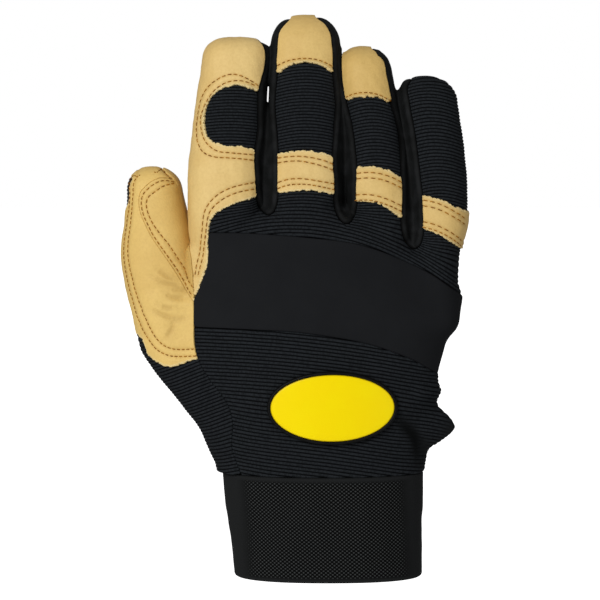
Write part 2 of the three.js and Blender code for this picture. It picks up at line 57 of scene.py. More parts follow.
# Sizes of the hand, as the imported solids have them
CUFF_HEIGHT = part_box("cuff_band")[1][2] / MM
CUFF_DEPTH = (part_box("cuff_band")[1][1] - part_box("cuff_band")[0][1]) / MM
CUFF_MOUTH_WIDTH = 81.5
CUFF_TOP_WIDTH = 87.0
CUFF_LEAN = 2.4
CUFF_WALL = 2.2
PALM_HEIGHT = 109.0
PALM_WIDTH = 118.0
PALM_DEPTH = 40.0
FINGER_LENGTH = 86.5
FINGER_WIDTH = 33.0
FINGER_DEPTH = 25.0
FINGER_CURL = 15.0
THUMB_WIDTH = 33.0
THUMB_DEPTH = 29.0
THUMB_FORWARD = 9.0
HAND_SHIFT = 1.5
KNUCKLE_SLANT = 0.168
KNUCKLE_BOW = 0.65
SEAM_RISE = 1.8
PALM_SEAM = 8.0
THUMB_SEAM = 5.5
ROUNDNESS = 2.35
BADGE_WIDTH = 56.0
BADGE_HEIGHT = 31.4

# How far each layer stands off the hand's form
LEATHER_PROUD = 0.7
NEOPRENE_PROUD = 0.9
STRIP_PROUD = 1.15
RIB_PITCH = 1.55
RIB_HEIGHT = 0.32
WEAVE = (1.92, 1.56)

# Camera: the photograph's view
VIEW_DISTANCE = 1500.0
VIEW_ELEVATION = math.radians(5.5)
VIEW_TARGET = np.array([-12.3, 0.0, 119.6])
VIEW_WIDTH = 259.0
PICTURE = 600
SENSOR = 36.0

# The skin: the cell of the grid it is read from, and how softly the hand's limbs join
GRID = 1.0
SKIN_BOX = ((-92, -27, 30), (66, 29, 246))
FINGER_BLEND = 5.0
FORK_BLEND = 3.6
# Index and middle finger part for a short way: its height, its reach and the blend lost there
PARTING = (208, 5.5, 3.5)
# The thumb's blend at its root, how much of it is lost above, and between which heights
THUMB_BLEND = (9.0, 8.4, 112, 132)
FAR = 60.0


def across(share):
    return share * PALM_WIDTH - HAND_SHIFT


def up(share):
    share = np.asarray(share, float)
    return CUFF_HEIGHT + np.where(share <= 1, share * PALM_HEIGHT,
                                  PALM_HEIGHT + (share - 1) * FINGER_LENGTH)


# Sections as [up, across, half width, half depth], shares of the limb's own sizes
FINGERS = {
    "index": (0.125, 3.0, [(0.780, -0.352, 0.400, 0.52), (0.985, -0.361, 0.478, 0.60),
                           (1.160, -0.361, 0.482, 0.58), (1.450, -0.347, 0.468, 0.52),
                           (1.770, -0.326, 0.425, 0.46)]),
    "middle": (0.145, 2.2, [(0.800, -0.083, 0.400, 0.52), (0.985, -0.081, 0.520, 0.61),
                            (1.200, -0.077, 0.520, 0.59), (1.520, -0.070, 0.494, 0.53),
                            (1.860, -0.071, 0.455, 0.46)]),
    "ring": (0.130, 2.3, [(0.760, 0.198, 0.340, 0.50), (0.940, 0.202, 0.428, 0.60),
                          (1.200, 0.192, 0.412, 0.57), (1.480, 0.171, 0.366, 0.51),
                          (1.720, 0.151, 0.340, 0.45)]),
    "pinky": (0.125, 2.3, [(0.620, 0.402, 0.300, 0.46), (0.840, 0.398, 0.325, 0.56),
                           (1.060, 0.416, 0.370, 0.54), (1.330, 0.402, 0.380, 0.50),
                           (1.585, 0.376, 0.382, 0.46)]),
}
# The thumb's sections, with how far forward (+Y) each lies
THUMB = (0.122, 2.2, [(0.030, -0.325, 0.200, 0.44, 0.00), (0.150, -0.358, 0.290, 0.47, 0.05),
                      (0.262, -0.425, 0.355, 0.50, 0.20), (0.389, -0.495, 0.450, 0.54, 0.40),
                      (0.484, -0.534, 0.515, 0.55, 0.60), (0.675, -0.573, 0.515, 0.54, 0.80),
                      (0.873, -0.613, 0.469, 0.50, 0.95), (1.000, -0.618, 0.400, 0.46, 1.00),
                      (1.128, -0.626, 0.350, 0.42, 1.00)])
# The hand's sections: [up, left, right, half depth]
BODY = (0.085, 2.0, [(0.000, -0.360, 0.350, 0.560), (0.120, -0.400, 0.368, 0.550),
                     (0.262, -0.446, 0.392, 0.530), (0.389, -0.474, 0.400, 0.505),
                     (0.520, -0.484, 0.418, 0.490), (0.675, -0.494, 0.440, 0.475),
                     (0.830, -0.494, 0.452, 0.455), (0.960, -0.490, 0.476, 0.410)])

# Seams that the solids have too, as [across, up]
PANEL_TOP = [(-0.62, 0.937), (-0.44, 0.94), (-0.238, 0.937), (0.029, 0.913), (0.168, 0.881),
             (0.311, 0.817), (0.399, 0.766), (0.495, 0.686), (0.62, 0.57)]
PANEL_FOOT = [(-0.62, 0.566), (-0.37, 0.566), (-0.253, 0.563), (-0.11, 0.556), (0.029, 0.536),
              (0.168, 0.504), (0.311, 0.444), (0.407, 0.377), (0.62, 0.22)]
LEATHER_EDGE = [(-0.231, 1.108), (-0.264, 1.096), (-0.326, 1.070), (-0.377, 1.036),
                (-0.410, 1.001), (-0.421, 0.960), (-0.423, 0.913), (-0.424, 0.825),
                (-0.439, 0.770), (-0.462, 0.706), (-0.476, 0.675)]
THUMB_LINE = [(-0.502, 1.30), (-0.502, 0.930), (-0.494, 0.893), (-0.483, 0.825),
              (-0.477, 0.735), (-0.476, 0.675), (-0.476, 0.516), (-0.462, 0.440),
              (-0.421, 0.361), (-0.359, 0.274), (-0.337, 0.190), (-0.341, 0.111),
              (-0.333, 0.060), (-0.304, -0.02)]
THUMB_FOOT = [(-0.80, 0.590), (-0.678, 0.524), (-0.641, 0.448), (-0.604, 0.424),
              (-0.560, 0.409), (-0.461, 0.444), (-0.40, 0.465)]
WINDOW = [(-0.180, 1.600), (-0.244, 1.617), (-0.280, 1.638), (-0.317, 1.648), (-0.360, 1.640),
          (-0.398, 1.612), (-0.425, 1.562), (-0.437, 1.504), (-0.436, 1.448), (-0.427, 1.396),
          (-0.398, 1.367), (-0.360, 1.350), (-0.317, 1.353), (-0.280, 1.342), (-0.242, 1.325),
          (-0.180, 1.315)]
CAP_EDGE = {
    "middle": [(-0.215, 1.680), (-0.172, 1.703), (-0.145, 1.733), (-0.112, 1.753),
               (-0.071, 1.761), (-0.027, 1.752), (0.006, 1.731), (0.029, 1.706),
               (0.070, 1.680)],
    "ring": [(0.050, 1.560), (0.076, 1.576), (0.105, 1.586), (0.154, 1.592), (0.204, 1.586),
             (0.248, 1.553), (0.290, 1.530)],
}
STRIPS = {
    "middle": ([(-0.215, 1.300), (-0.125, 1.324), (-0.071, 1.329), (-0.017, 1.318),
                (0.070, 1.280)],
               [(-0.215, 1.100), (-0.140, 1.126), (-0.076, 1.133), (-0.017, 1.127),
                (0.070, 1.094)]),
    "ring": ([(0.070, 1.246), (0.118, 1.248), (0.180, 1.248), (0.233, 1.226), (0.320, 1.150)],
             [(0.070, 1.090), (0.110, 1.081), (0.168, 1.074), (0.203, 1.063), (0.320, 0.960)]),
    "pinky": ([(0.320, 1.120), (0.362, 1.108), (0.414, 1.089), (0.467, 1.054), (0.600, 0.965)],
              [(0.320, 0.960), (0.362, 0.952), (0.414, 0.930), (0.467, 0.893),
               (0.600, 0.790)]),
}
BADGE_AT = (0.026, 0.259)

# Where the side walls of the fingers meet their backs, in pixels of the front view. Each runs
# down one finger, round the fork and up the next.
FORK_LINES = {
    "index_middle": [(250, 26), (253.4, 36.5), (259.2, 41.6), (263.2, 47.5), (264.6, 54.4),
                     (264.3, 62.3), (262.7, 72.2), (259.2, 84), (258, 104), (258, 130),
                     (255.3, 148), (254, 158), (255, 182), (256.3, 195), (258.5, 205),
                     (263, 212), (268.5, 214.5), (274, 211), (277, 202), (278, 190),
                     (278, 152), (275, 113), (275, 95), (276.5, 80), (277.5, 54.4),
                     (279.5, 34.7), (283.9, 26.3), (291.3, 17.9), (293, 6)],
    "middle_ring": [(313, 6), (315, 17), (322.5, 22.8), (327.4, 28.7), (330.4, 37.6),
                    (332, 54.4), (332.8, 70), (335.7, 104), (334, 130), (332, 160),
                    (333, 180), (333.6, 195), (335, 208), (338.5, 217), (344, 222.5),
                    (350, 222.5), (354, 216), (356.3, 206), (357, 190), (357, 170),
                    (352.4, 130), (346, 101), (343, 78), (342.4, 55), (346, 49),
                    (351.8, 45.5), (353, 34)],
    "ring_pinky": [(370, 38), (371.3, 48.9), (375, 51.7), (377.7, 56.3), (383.3, 61.8),
                   (386, 74.8), (389.8, 94), (392, 106), (396, 122), (400, 143), (401, 183),
                   (401, 218), (402, 230), (404.5, 239), (409.5, 246), (415.5, 248.5),
                   (420.5, 244), (423, 235), (424, 222), (423, 197), (421, 183), (417, 150),
                   (413.8, 127.5), (411, 113.6), (408.7, 99.8), (407.3, 92), (407.8, 85),
                   (411.5, 77.5), (416, 66)],
}
# The inner leather of the thumb, whose edge turns back along the seam over the tip
WING_LINE = [(147, 156), (155.4, 165), (163.3, 171.8), (170.2, 178), (172.6, 180.2), (171.5, 180),
             (166, 178.6), (158.5, 179), (151.3, 182.4), (144.8, 187.6), (141, 192.5),
             (139.4, 200.5), (139.8, 208), (142.4, 217.3), (146, 225.3), (149.6, 233),
             (153.8, 240.2), (160, 249.4), (166, 258), (172.5, 267.5), (179, 278), (185, 288.5),
             (192, 299), (200, 309)]
FINGER_SPAN = {"middle": (268, 340), "ring": (340, 404), "pinky": (404, 520)}

# Rows of stitches on the leather, in pixels of the front view: (thread pitch in mm, points)
STITCH_ROWS = {
    "index_leather": [
        (2.5, [(258.4, 86.6), (249, 80), (239, 75.4), (230.4, 74.7), (223, 76.8), (216, 81),
               (207.6, 88.4), (202.2, 98.6), (199.4, 110), (197.9, 122), (197.3, 132),
               (198.5, 142), (202, 150.5), (208, 155), (216, 157.3), (228, 158), (241, 159),
               (253, 160.5)]),
        (2.5, [(255, 86), (245, 81.8), (236, 80.9), (227.5, 82.4), (219, 87), (211.5, 94.5),
               (205.8, 105), (201.5, 117), (201.7, 128), (204, 138), (209.5, 146), (218, 151.5),
               (230, 153), (242, 154), (253, 155)]),
        (2.7, [(254, 182.5), (243, 184.5), (232, 187.5), (222, 192), (213, 199), (206.5, 208),
               (203.5, 218), (202.5, 232), (201, 247), (198, 262), (195.5, 276)]),
        (2.7, [(254, 189), (243, 191), (233, 194), (224, 198.5), (216, 204.5), (210, 212),
               (207.5, 221), (206, 234), (204.5, 248), (202, 262), (198.5, 276)]),
    ],
    "middle_tip_cap": [(2.2, [(277.5, 66.5), (287, 61.5), (297, 59.3), (307, 58.8), (317, 60),
                              (326, 63.4), (332, 67)])],
    "ring_tip_cap": [(2.2, [(346, 98), (353, 94.5), (361, 93), (370, 93.2), (379, 95.3),
                            (386, 98.8), (391, 102)])],
    "middle_knuckle_strip": [
        (2.75, [(277.5, 158.6), (288, 157), (300, 156.6), (312, 158), (324, 161), (333, 165)]),
        (2.75, [(277.5, 163.4), (288, 161.7), (300, 161.3), (312, 163.5), (324, 167),
                (333, 171)]),
        (2.75, [(278, 183), (288, 179.6), (300, 178.7), (312, 180), (324, 182.2),
                (334, 184)]),
        (2.1, [(278, 189), (288, 185.4), (300, 184.2), (312, 185.2), (324, 187.6),
               (334, 190)]),
    ],
    "ring_knuckle_strip": [
        (2.75, [(357, 173.5), (368, 172.6), (380, 173.8), (391, 177.5), (401, 183)]),
        (2.75, [(357, 179), (368, 178), (380, 179.3), (391, 183.3), (401, 189)]),
        (2.75, [(356, 195), (367, 194.5), (378, 196.2), (390, 200.6), (401, 206.5)]),
        (2.1, [(355.5, 200.5), (367, 200), (378, 201.9), (390, 206.2), (401, 212)]),
    ],
    "pinky_knuckle_strip": [
        (2.75, [(423, 200), (432, 201.6), (442, 205), (452, 210.5), (463, 218.5)]),
        (2.75, [(423, 205.5), (432, 207.2), (442, 210.8), (452, 216.4), (463, 224.5)]),
        (2.75, [(423, 221.5), (432, 223.6), (442, 227.6), (452, 233.6), (462, 241.5)]),
        (2.1, [(423, 227), (432, 229.2), (442, 233.2), (452, 239.3), (461, 246.5)]),
    ],
    "thumb_leather": [
        (2.0, [(134.6, 171.8), (132.5, 178), (130.7, 192), (130, 206), (128.4, 220), (126.7, 231),
               (125.3, 241), (124.8, 255), (126.2, 267), (128.5, 280), (131.5, 293), (136.5, 310),
               (140.5, 322), (146, 334), (152, 343.5), (158, 350), (166, 354.5), (176, 356.5),
               (197, 356)]),
        (2.0, [(138.4, 170.4), (136.3, 179.5), (133.9, 193.5), (132.8, 206), (131.8, 220),
               (130, 234), (128.8, 248), (129.2, 259), (132, 274), (136, 290), (141, 305),
               (147, 320), (153, 332.5), (159, 341), (167, 347), (178, 349.5), (195, 349)]),
        (2.1, [(153.8, 163.8), (157.4, 167.4), (161.2, 170.6), (165, 174.4), (168.6, 177.6),
               (171.6, 180.4)]),
    ],
    "thumb_inner_leather": [
        (2.3, [(173.5, 183), (166.1, 181.3), (159.5, 182), (153, 185.2), (147.2, 189.8),
               (143.4, 194.5), (141.9, 201), (142.2, 208), (144.6, 217), (148.1, 224.7),
               (151.6, 232.3), (155.8, 239.3), (162, 248.4), (168, 257), (174.5, 266.5),
               (181, 277), (187, 287.5), (192, 295)]),
        (2.3, [(173.5, 184), (167.5, 185), (161.9, 187), (157, 190.3), (151.5, 194.4),
               (148, 198), (146.6, 203.5), (147.3, 209.8), (149.4, 216.2), (152.3, 222.5),
               (155.8, 228.1), (162, 236.5), (167.7, 243.5), (172.7, 251.2), (177.6, 259),
               (183.5, 268.5), (189, 278.5), (194.5, 288)]),
    ],
}

# Creases of the thumb's leather, in pixels of the front view
CREASES = [
    [(152, 276), (160, 281), (168, 284), (176, 286), (187, 294)],
    [(163, 292), (171, 297), (179, 298.5), (188, 297)],
    [(168, 288), (176, 290), (184, 290), (190, 294.5)],
    [(150, 309), (160, 313.5), (170, 317.5), (180, 318), (189, 316)],
    [(168, 326), (175, 321), (182, 318.5), (189, 317.5)],
    [(158, 304), (167, 308), (177, 308)],
    [(165, 340), (170, 333), (173, 326), (174, 320)],
    [(156, 268), (166, 276), (177, 281)],
]
# Grooves in the black cloth beside the fold
CLOTH_CREASES = [
    [(398, 417), (403, 423.5), (408, 428), (413, 433), (417, 440.5), (419, 450.5), (420, 462)],
    [(422, 436), (424, 446), (425, 458)],
]


# Numbers
def smoothstep(value, low, high):
    t = np.clip((value - low) / (high - low), 0, 1)
    return t * t * (3 - 2 * t)


def smooth_min(a, b, reach):
    h = np.maximum(reach - np.abs(a - b), 0) / reach
    return np.minimum(a, b) - h * h * reach / 4


def unit(vectors):
    return vectors / np.maximum(np.linalg.norm(vectors, axis=-1, keepdims=True), 1e-9)


def eased(x, y, xs):
    """A smooth curve through the points that never overshoots them."""
    x, y = np.asarray(x, float), np.asarray(y, float)
    step, slope = np.diff(x), np.diff(y) / np.diff(x)
    tangent = np.empty(len(x))
    tangent[0], tangent[-1] = slope[0], slope[-1]
    a, b = 2 * step[1:] + step[:-1], step[1:] + 2 * step[:-1]
    same = slope[1:] * slope[:-1] > 0
    safe = np.where(same, slope[:-1], 1), np.where(same, slope[1:], 1)
    tangent[1:-1] = np.where(same, (a + b) / (a / safe[0] + b / safe[1]), 0)
    i = np.clip(np.searchsorted(x, xs) - 1, 0, len(x) - 2)
    t = (xs - x[i]) / step[i]
    return ((2 * t**3 - 3 * t**2 + 1) * y[i] + (t**3 - 2 * t**2 + t) * step[i] * tangent[i]
            + (3 * t**2 - 2 * t**3) * y[i + 1] + (t**3 - t**2) * step[i] * tangent[i + 1])


def rounded(points, spacing):
    """The points joined by a smooth curve, about spacing apart."""
    p = np.asarray(points, float)
    p = np.vstack([2 * p[0] - p[1], p, 2 * p[-1] - p[-2]])
    made = []
    for i in range(1, len(p) - 2):
        count = max(2, int(np.linalg.norm(p[i + 1] - p[i]) / spacing))
        t = np.linspace(0, 1, count, endpoint=False)[:, None]
        made.append(0.5 * (2 * p[i] + (p[i + 1] - p[i - 1]) * t
                           + (2 * p[i - 1] - 5 * p[i] + 4 * p[i + 1] - p[i + 2]) * t**2
                           + (3 * p[i] - p[i - 1] - 3 * p[i + 1] + p[i + 2]) * t**3))
    return np.vstack(made + [p[-2:-1]])


def ripple(p, size, seed, waves=7):
    """Smooth seeded unevenness between about -1 and 1, size mm from crest to crest."""
    rng = np.random.default_rng(seed)
    total = np.zeros(len(p))
    for _ in range(waves):
        way = rng.normal(size=3)
        way *= 2 * np.pi / (size * np.linalg.norm(way) * rng.uniform(0.7, 1.4))
        total += np.sin(p @ way + rng.uniform(0, 2 * np.pi))
    return total / math.sqrt(waves / 2) / 1.6


def to_segments(q, line):
    """Distance in the plane from each point to a line of points, and on which segment."""
    a, b = line[:-1], line[1:]
    d = b - a
    length = np.maximum((d**2).sum(1), 1e-12)
    best, where = np.full(len(q), 1e9), np.zeros(len(q), int)
    for k in range(len(a)):
        t = np.clip(((q - a[k]) @ d[k]) / length[k], 0, 1)
        gap = ((q - a[k] - t[:, None] * d[k]) ** 2).sum(1)
        closer = gap < best
        best[closer], where[closer] = gap[closer], k
    return np.sqrt(best), where


def inside_by(q, ring):
    """Signed distance to a closed outline, positive inside."""
    closed = np.vstack([ring, ring[:1]])
    gap, _ = to_segments(q, closed)
    odd = np.zeros(len(q), bool)
    for a, b in zip(closed[:-1], closed[1:]):
        if a[1] == b[1]:
            continue
        crosses = (a[1] > q[:, 1]) != (b[1] > q[:, 1])
        odd ^= crosses & (q[:, 0] < a[0] + (q[:, 1] - a[1]) * (b[0] - a[0]) / (b[1] - a[1]))
    return np.where(odd, gap, -gap)


def over_line(q, line):
    """Height over a line that runs from left to right, measured square to it."""
    height = np.interp(q[:, 0], line[:, 0], line[:, 1])
    slope = np.interp(q[:, 0], line[:, 0], np.gradient(line[:, 1], line[:, 0]))
    return (q[:, 1] - height) / np.sqrt(1 + slope**2)


# The form of the hand
class Limb:
    """A tube of oval sections with a rounded end. Rows are [z, x, y, half width, half depth]."""

    def __init__(self, rows, dome, blunt, foot=9.0, slanted=False):
        rows = np.array(rows, float)
        self.low, self.top, self.dome, self.blunt = rows[0, 0], rows[-1, 0], dome, blunt
        self.foot, self.slanted = foot, slanted
        self.z = np.linspace(self.low, self.top, 200)
        self.columns = [eased(rows[:, 0], rows[:, k], self.z) for k in range(1, 5)]
        rise = rows[-1, 0] - rows[-2, 0]
        self.lean = [(rows[-1, k] - rows[-2, k]) / rise for k in (1, 2)]
        x, y, half, deep = self.columns
        self.box = ((x - half).min(), (x + half).max(), (y - deep).min(), (y + deep).max())

    def section(self, z):
        held = np.clip(z, self.low, self.top)
        return [np.interp(held, self.z, column) for column in self.columns]

    def field(self, p, reach=13.0):
        out = np.full(len(p), FAR)
        lowered = 34.0 if self.slanted else 0.0
        near = ((p[:, 0] > self.box[0] - reach) & (p[:, 0] < self.box[1] + reach)
                & (p[:, 1] > self.box[2] - reach) & (p[:, 1] < self.box[3] + reach)
                & (p[:, 2] > self.low - self.foot - reach - lowered)
                & (p[:, 2] < self.top + self.dome + reach + lowered))
        q = p[near]
        z = level_of(q[:, 0], q[:, 2]) if self.slanted else q[:, 2]
        x, y, half, deep = self.section(z)
        over, under = np.maximum(z - self.top, 0), np.maximum(self.low - z, 0)
        dx, dy = q[:, 0] - x - self.lean[0] * over, q[:, 1] - y - self.lean[1] * over
        oval = (np.abs(dx / half) ** ROUNDNESS + np.abs(dy / deep) ** ROUNDNESS) ** (1 / ROUNDNESS)
        rise = over / self.dome + under / self.foot
        size = np.maximum((oval**self.blunt + rise**self.blunt) ** (1 / self.blunt), 1e-4)
        reach_out = np.sqrt(dx**2 + dy**2 + (over + under) ** 2)
        out[near] = reach_out - reach_out / size
        return out


def knuckle_drop(x):
    return KNUCKLE_SLANT * x + KNUCKLE_BOW * x * x / PALM_WIDTH


SLANT_FROM, SLANT_FULL = float(up(0.45)), float(up(0.95))


def level_of(x, z):
    """The level of the sections that a point lies on, as they sink towards the little finger."""
    drop, level = knuckle_drop(x), z.copy()
    for _ in range(5):
        level = z + drop * smoothstep(level, SLANT_FROM, SLANT_FULL)
    return level


def curl_at(z):
    return FINGER_CURL * (np.maximum(0, z - float(up(1))) / FINGER_LENGTH) ** 2


def finger(dome, blunt, rows):
    return Limb([(float(up(r[0])), across(r[1]), float(curl_at(up(r[0]))), r[2] * FINGER_WIDTH,
                  r[3] * FINGER_DEPTH) for r in rows], dome * FINGER_LENGTH, blunt)


fingers = {name: finger(*shape) for name, shape in FINGERS.items()}
thumb = Limb([(float(up(r[0])), across(r[1]), r[4] * THUMB_FORWARD, r[2] * THUMB_WIDTH,
               r[3] * THUMB_DEPTH) for r in THUMB[2]], THUMB[0] * FINGER_LENGTH, THUMB[1])
body = Limb([(float(up(r[0])), across((r[1] + r[2]) / 2), 0, (r[2] - r[1]) / 2 * PALM_WIDTH,
              r[3] * PALM_DEPTH) for r in BODY[2]], BODY[0] * PALM_HEIGHT, BODY[1], foot=30.0,
            slanted=True)

# The folds beside the wrist: middle, half reach to the side, forward, up and down, and blend
FOLDS = [((37.0, -3.0, 64.8), (14.2, 9.5, 10.5, 8.5), 2.6),
         ((38.6, -4.0, 80.6), (8.0, 10.0, 5.5, 5.5), 3.0)]
FOLD_POINTED = 1.45
FOLD_SLOPE = 7.0


def wedge(p, centre, half):
    """How far points lie outside a pointed swelling, roughly."""
    q = p - centre
    rise = np.where(q[:, 2] > 0, q[:, 2] / half[2], -q[:, 2] / half[3])
    flat = np.abs(q[:, 0] / half[0]) ** FOLD_POINTED + rise**FOLD_POINTED
    length = (flat + np.abs(q[:, 1] / half[1]) ** 2) ** (1 / FOLD_POINTED)
    return (length - 1) * FOLD_SLOPE


def form(p):
    """How far points lie outside the hand, negative within it."""
    root, lost, low, high = THUMB_BLEND
    web = root - lost * smoothstep(p[:, 2], low, high)
    hand = body.field(p)
    for centre, half, reach in FOLDS:
        hand = smooth_min(hand, wedge(p, centre, half), reach)
    grown = [smooth_min(hand, limb.field(p), FINGER_BLEND) for limb in fingers.values()]
    height, reach, less = PARTING
    apart = np.exp(-(((p[:, 2] - height) / reach) ** 2))
    out = smooth_min(grown[0], grown[1], FORK_BLEND - less * apart)
    for limb in grown[2:]:
        out = smooth_min(out, limb, FORK_BLEND)
    return smooth_min(out, thumb.field(p), web)


def slope_of(p, step=0.12):
    return np.stack([form(p + e) - form(p - e) for e in np.eye(3) * step], 1) / (2 * step)


def on_hand(p):
    """The points moved onto the hand's surface."""
    slope = slope_of(p)
    return p - (form(p) / np.maximum((slope**2).sum(1), 0.05))[:, None] * slope


def settled(p):
    """The points moved onto the hand's surface, and its outward directions there."""
    p = on_hand(p)
    return p, unit(slope_of(p))


def surface_net(low, high, step):
    """Points and quads on the surface where form is nought, a point to a cell of the grid."""
    axes = [np.arange(a, b + step, step) for a, b in zip(low, high)]
    spots = np.stack(np.meshgrid(*axes, indexing="ij"), -1)
    shape = spots.shape[:3]
    values = np.concatenate([form(slab.reshape(-1, 3)) for slab in spots]).reshape(shape)
    inside = values < 0
    corners = [(i, j, k) for i in (0, 1) for j in (0, 1) for k in (0, 1)]
    part = lambda a, c: a[c[0]:shape[0] - 1 + c[0], c[1]:shape[1] - 1 + c[1],
                          c[2]:shape[2] - 1 + c[2]]
    count = sum(part(inside, c).astype(np.int8) for c in corners)
    cells = np.argwhere((count > 0) & (count < 8))
    number = np.full(count.shape, -1)
    number[tuple(cells.T)] = np.arange(len(cells))
    total, hits = np.zeros((len(cells), 3)), np.zeros(len(cells))
    for a in corners:
        for b in corners:
            if sum(b) - sum(a) != 1 or any(y < x for x, y in zip(a, b)):
                continue
            va, vb = values[tuple((cells + a).T)], values[tuple((cells + b).T)]
            cross = (va < 0) != (vb < 0)
            t = np.where(cross, va / np.where(cross, va - vb, 1), 0)
            spot = np.array(a) + t[:, None] * (np.array(b) - np.array(a))
            total += np.where(cross[:, None], spot, 0)
            hits += cross
    points = np.array(low) + step * (cells + total / hits[:, None])
    quads = []
    for axis in range(3):
        one, two = np.eye(3, dtype=int)[(axis + 1) % 3], np.eye(3, dtype=int)[(axis + 2) % 3]
        ahead = [slice(None)] * 3
        ahead[axis] = slice(1, None)
        behind = [slice(None)] * 3
        behind[axis] = slice(None, -1)
        at = np.argwhere(inside[tuple(behind)] != inside[tuple(ahead)])
        at = at[((at @ one) > 0) & ((at @ two) > 0)]
        ring = np.stack([number[tuple((at - one - two).T)], number[tuple((at - two).T)],
                         number[tuple(at.T)], number[tuple((at - one).T)]], 1)
        out = inside[tuple(at.T)]
        ring[~out] = ring[~out][:, ::-1]
        quads.append(ring)
    return points, np.vstack(quads)


def sides_of(faces):
    count = faces.shape[1]
    return np.vstack([faces[:, [k, (k + 1) % count]] for k in range(count)])


def evened(points, faces, rounds=2):
    """Points drawn towards the middle of their neighbours and put back on the surface."""
    edges = sides_of(faces)
    edges = np.vstack([edges, edges[:, ::-1]])
    share = np.bincount(edges[:, 0], minlength=len(points))
    for _ in range(rounds):
        mean = np.stack([np.bincount(edges[:, 0], points[edges[:, 1], k], len(points))
                         for k in range(3)], 1) / np.maximum(share, 1)[:, None]
        points = on_hand(points * 0.4 + mean * 0.6)
    return points


skin_points, skin_quads = surface_net(*SKIN_BOX, GRID)
skin_points = on_hand(evened(skin_points, skin_quads))
skin_faces = np.vstack([skin_quads[:, [0, 1, 2]], skin_quads[:, [0, 2, 3]]])


# The front view
def sight(points):
    """Eye and directions of the rays through pixels of the front view."""
    ahead = np.array([0, math.cos(VIEW_ELEVATION), -math.sin(VIEW_ELEVATION)])
    top = np.array([0, math.sin(VIEW_ELEVATION), math.cos(VIEW_ELEVATION)])
    offset = (np.asarray(points, float) - PICTURE / 2) * VIEW_WIDTH / PICTURE
    way = (ahead * VIEW_DISTANCE + offset[:, :1] * np.array([1.0, 0, 0]) - offset[:, 1:] * top)
    return VIEW_TARGET - ahead * VIEW_DISTANCE, unit(way)


def seen(points):
    """Where the rays through the pixels meet the hand, or pass it at the depth of its middle."""
    eye, way = sight(points)
    along = np.full(len(way), VIEW_DISTANCE - 45.0)
    for _ in range(70):
        along += np.clip(form(eye + along[:, None] * way) * 0.8, -2, 3)
    spot = eye + along[:, None] * way
    rough = eye + (VIEW_DISTANCE / way[:, 1:2]) * way
    depth = curl_at(rough[:, 2]) - np.where(rough[:, 2] > up(1), 2, 8)
    passing = eye + ((depth - eye[1]) / way[:, 1])[:, None] * way
    missed = np.abs(form(spot)) > 0.3
    return np.where(missed[:, None], passing, spot)


def front(points, spacing=2.0):
    """A smooth line in the plane of the hand's back, from pixels of the front view."""
    return rounded(seen(points)[:, [0, 2]], spacing)


def seam(shares, spacing=2.0):
    """A smooth line in the plane of the hand's back, from shares of the hand."""
    s = np.asarray(shares, float)
    return rounded(np.stack([across(s[:, 0]), up(s[:, 1]) + SEAM_RISE], 1), spacing)


fork_lines = {name: front(points) for name, points in FORK_LINES.items()}
index_side = fork_lines["index_middle"]
index_side = index_side[:int(np.argmin(index_side[:, 1])) - 2]
leather_edge = seam(LEATHER_EDGE)
thumb_line = seam(THUMB_LINE)
# Beyond the hand on every side
LEFT, DEEP, HIGH = -140.0, -20.0, 280.0
leather_zone = np.vstack([
    index_side, leather_edge,
    thumb_line[thumb_line[:, 1] > leather_edge[-1, 1] + 1][::-1],
    [[thumb_line[0, 0], HIGH], [index_side[0, 0], HIGH]]])
thumb_zone = np.vstack([thumb_line, [[thumb_line[-1, 0], DEEP], [LEFT, DEEP],
                                     [LEFT, thumb_line[0, 1]]]])
wing_line = front(WING_LINE)
wing_zone = np.vstack([wing_line, [[40.0, wing_line[-1, 1]], [40.0, wing_line[0, 1]]]])
foot_line = seam(THUMB_FOOT)
panel_top, panel_foot = seam(PANEL_TOP), seam(PANEL_FOOT)
window_zone = seam(WINDOW, 1.5)
cap_lines = {name: seam(points) for name, points in CAP_EDGE.items()}
strip_lines = {name: (seam(top), seam(foot)) for name, (top, foot) in STRIPS.items()}


class Places:
    """Signed distances from the seams at a set of points, each worked out once."""

    def __init__(self, p):
        self.p, self.flat, self.kept = p, p[:, [0, 2]], {}

    def zone(self, name, ring):
        if name not in self.kept:
            self.kept[name] = inside_by(self.flat, ring)
        return self.kept[name]

    @property
    def leather(self):
        return self.zone("leather", leather_zone)

    @property
    def thumb(self):
        return self.zone("thumb", thumb_zone)

    def fork(self, name):
        return self.zone(name, fork_lines[name])

    @property
    def forks(self):
        return np.maximum.reduce([self.fork(name) for name in fork_lines])

    @property
    def window(self):
        return self.zone("window", window_zone)

    @property
    def wing(self):
        return self.zone("wing", wing_zone)

    @property
    def front(self):
        x, y, z = self.p.T
        reach = np.maximum(smoothstep(x, -49, -38), smoothstep(z, 118, 140))
        return curl_at(z) + PALM_SEAM * reach - y

    @property
    def thumb_front(self):
        z = self.p[:, 2]
        sway = (3.8 * (smoothstep(z, 112, 126) - smoothstep(z, 156, 162))
                - 1.0 * smoothstep(z, 156, 162) + 12.0 * smoothstep(z, 171.5, 174.5))
        return self.thumb_depth - THUMB_SEAM + sway - self.p[:, 1]

    @property
    def thumb_back(self):
        return self.p[:, 1] - self.thumb_depth - THUMB_SEAM

    @property
    def thumb_depth(self):
        return thumb.section(self.p[:, 2])[1]

    @property
    def thumb_outside(self):
        return thumb.section(self.p[:, 2])[0] - self.p[:, 0]

    @property
    def over_foot(self):
        return self.over(foot_line)

    def over(self, line):
        return over_line(self.flat, line)

    def span(self, name):
        low, high = [front_x(px) for px in FINGER_SPAN[name]]
        return np.minimum(self.p[:, 0] - low, high - self.p[:, 0])

    def cap(self, name):
        return np.minimum(self.over(cap_lines[name]), self.span(name))


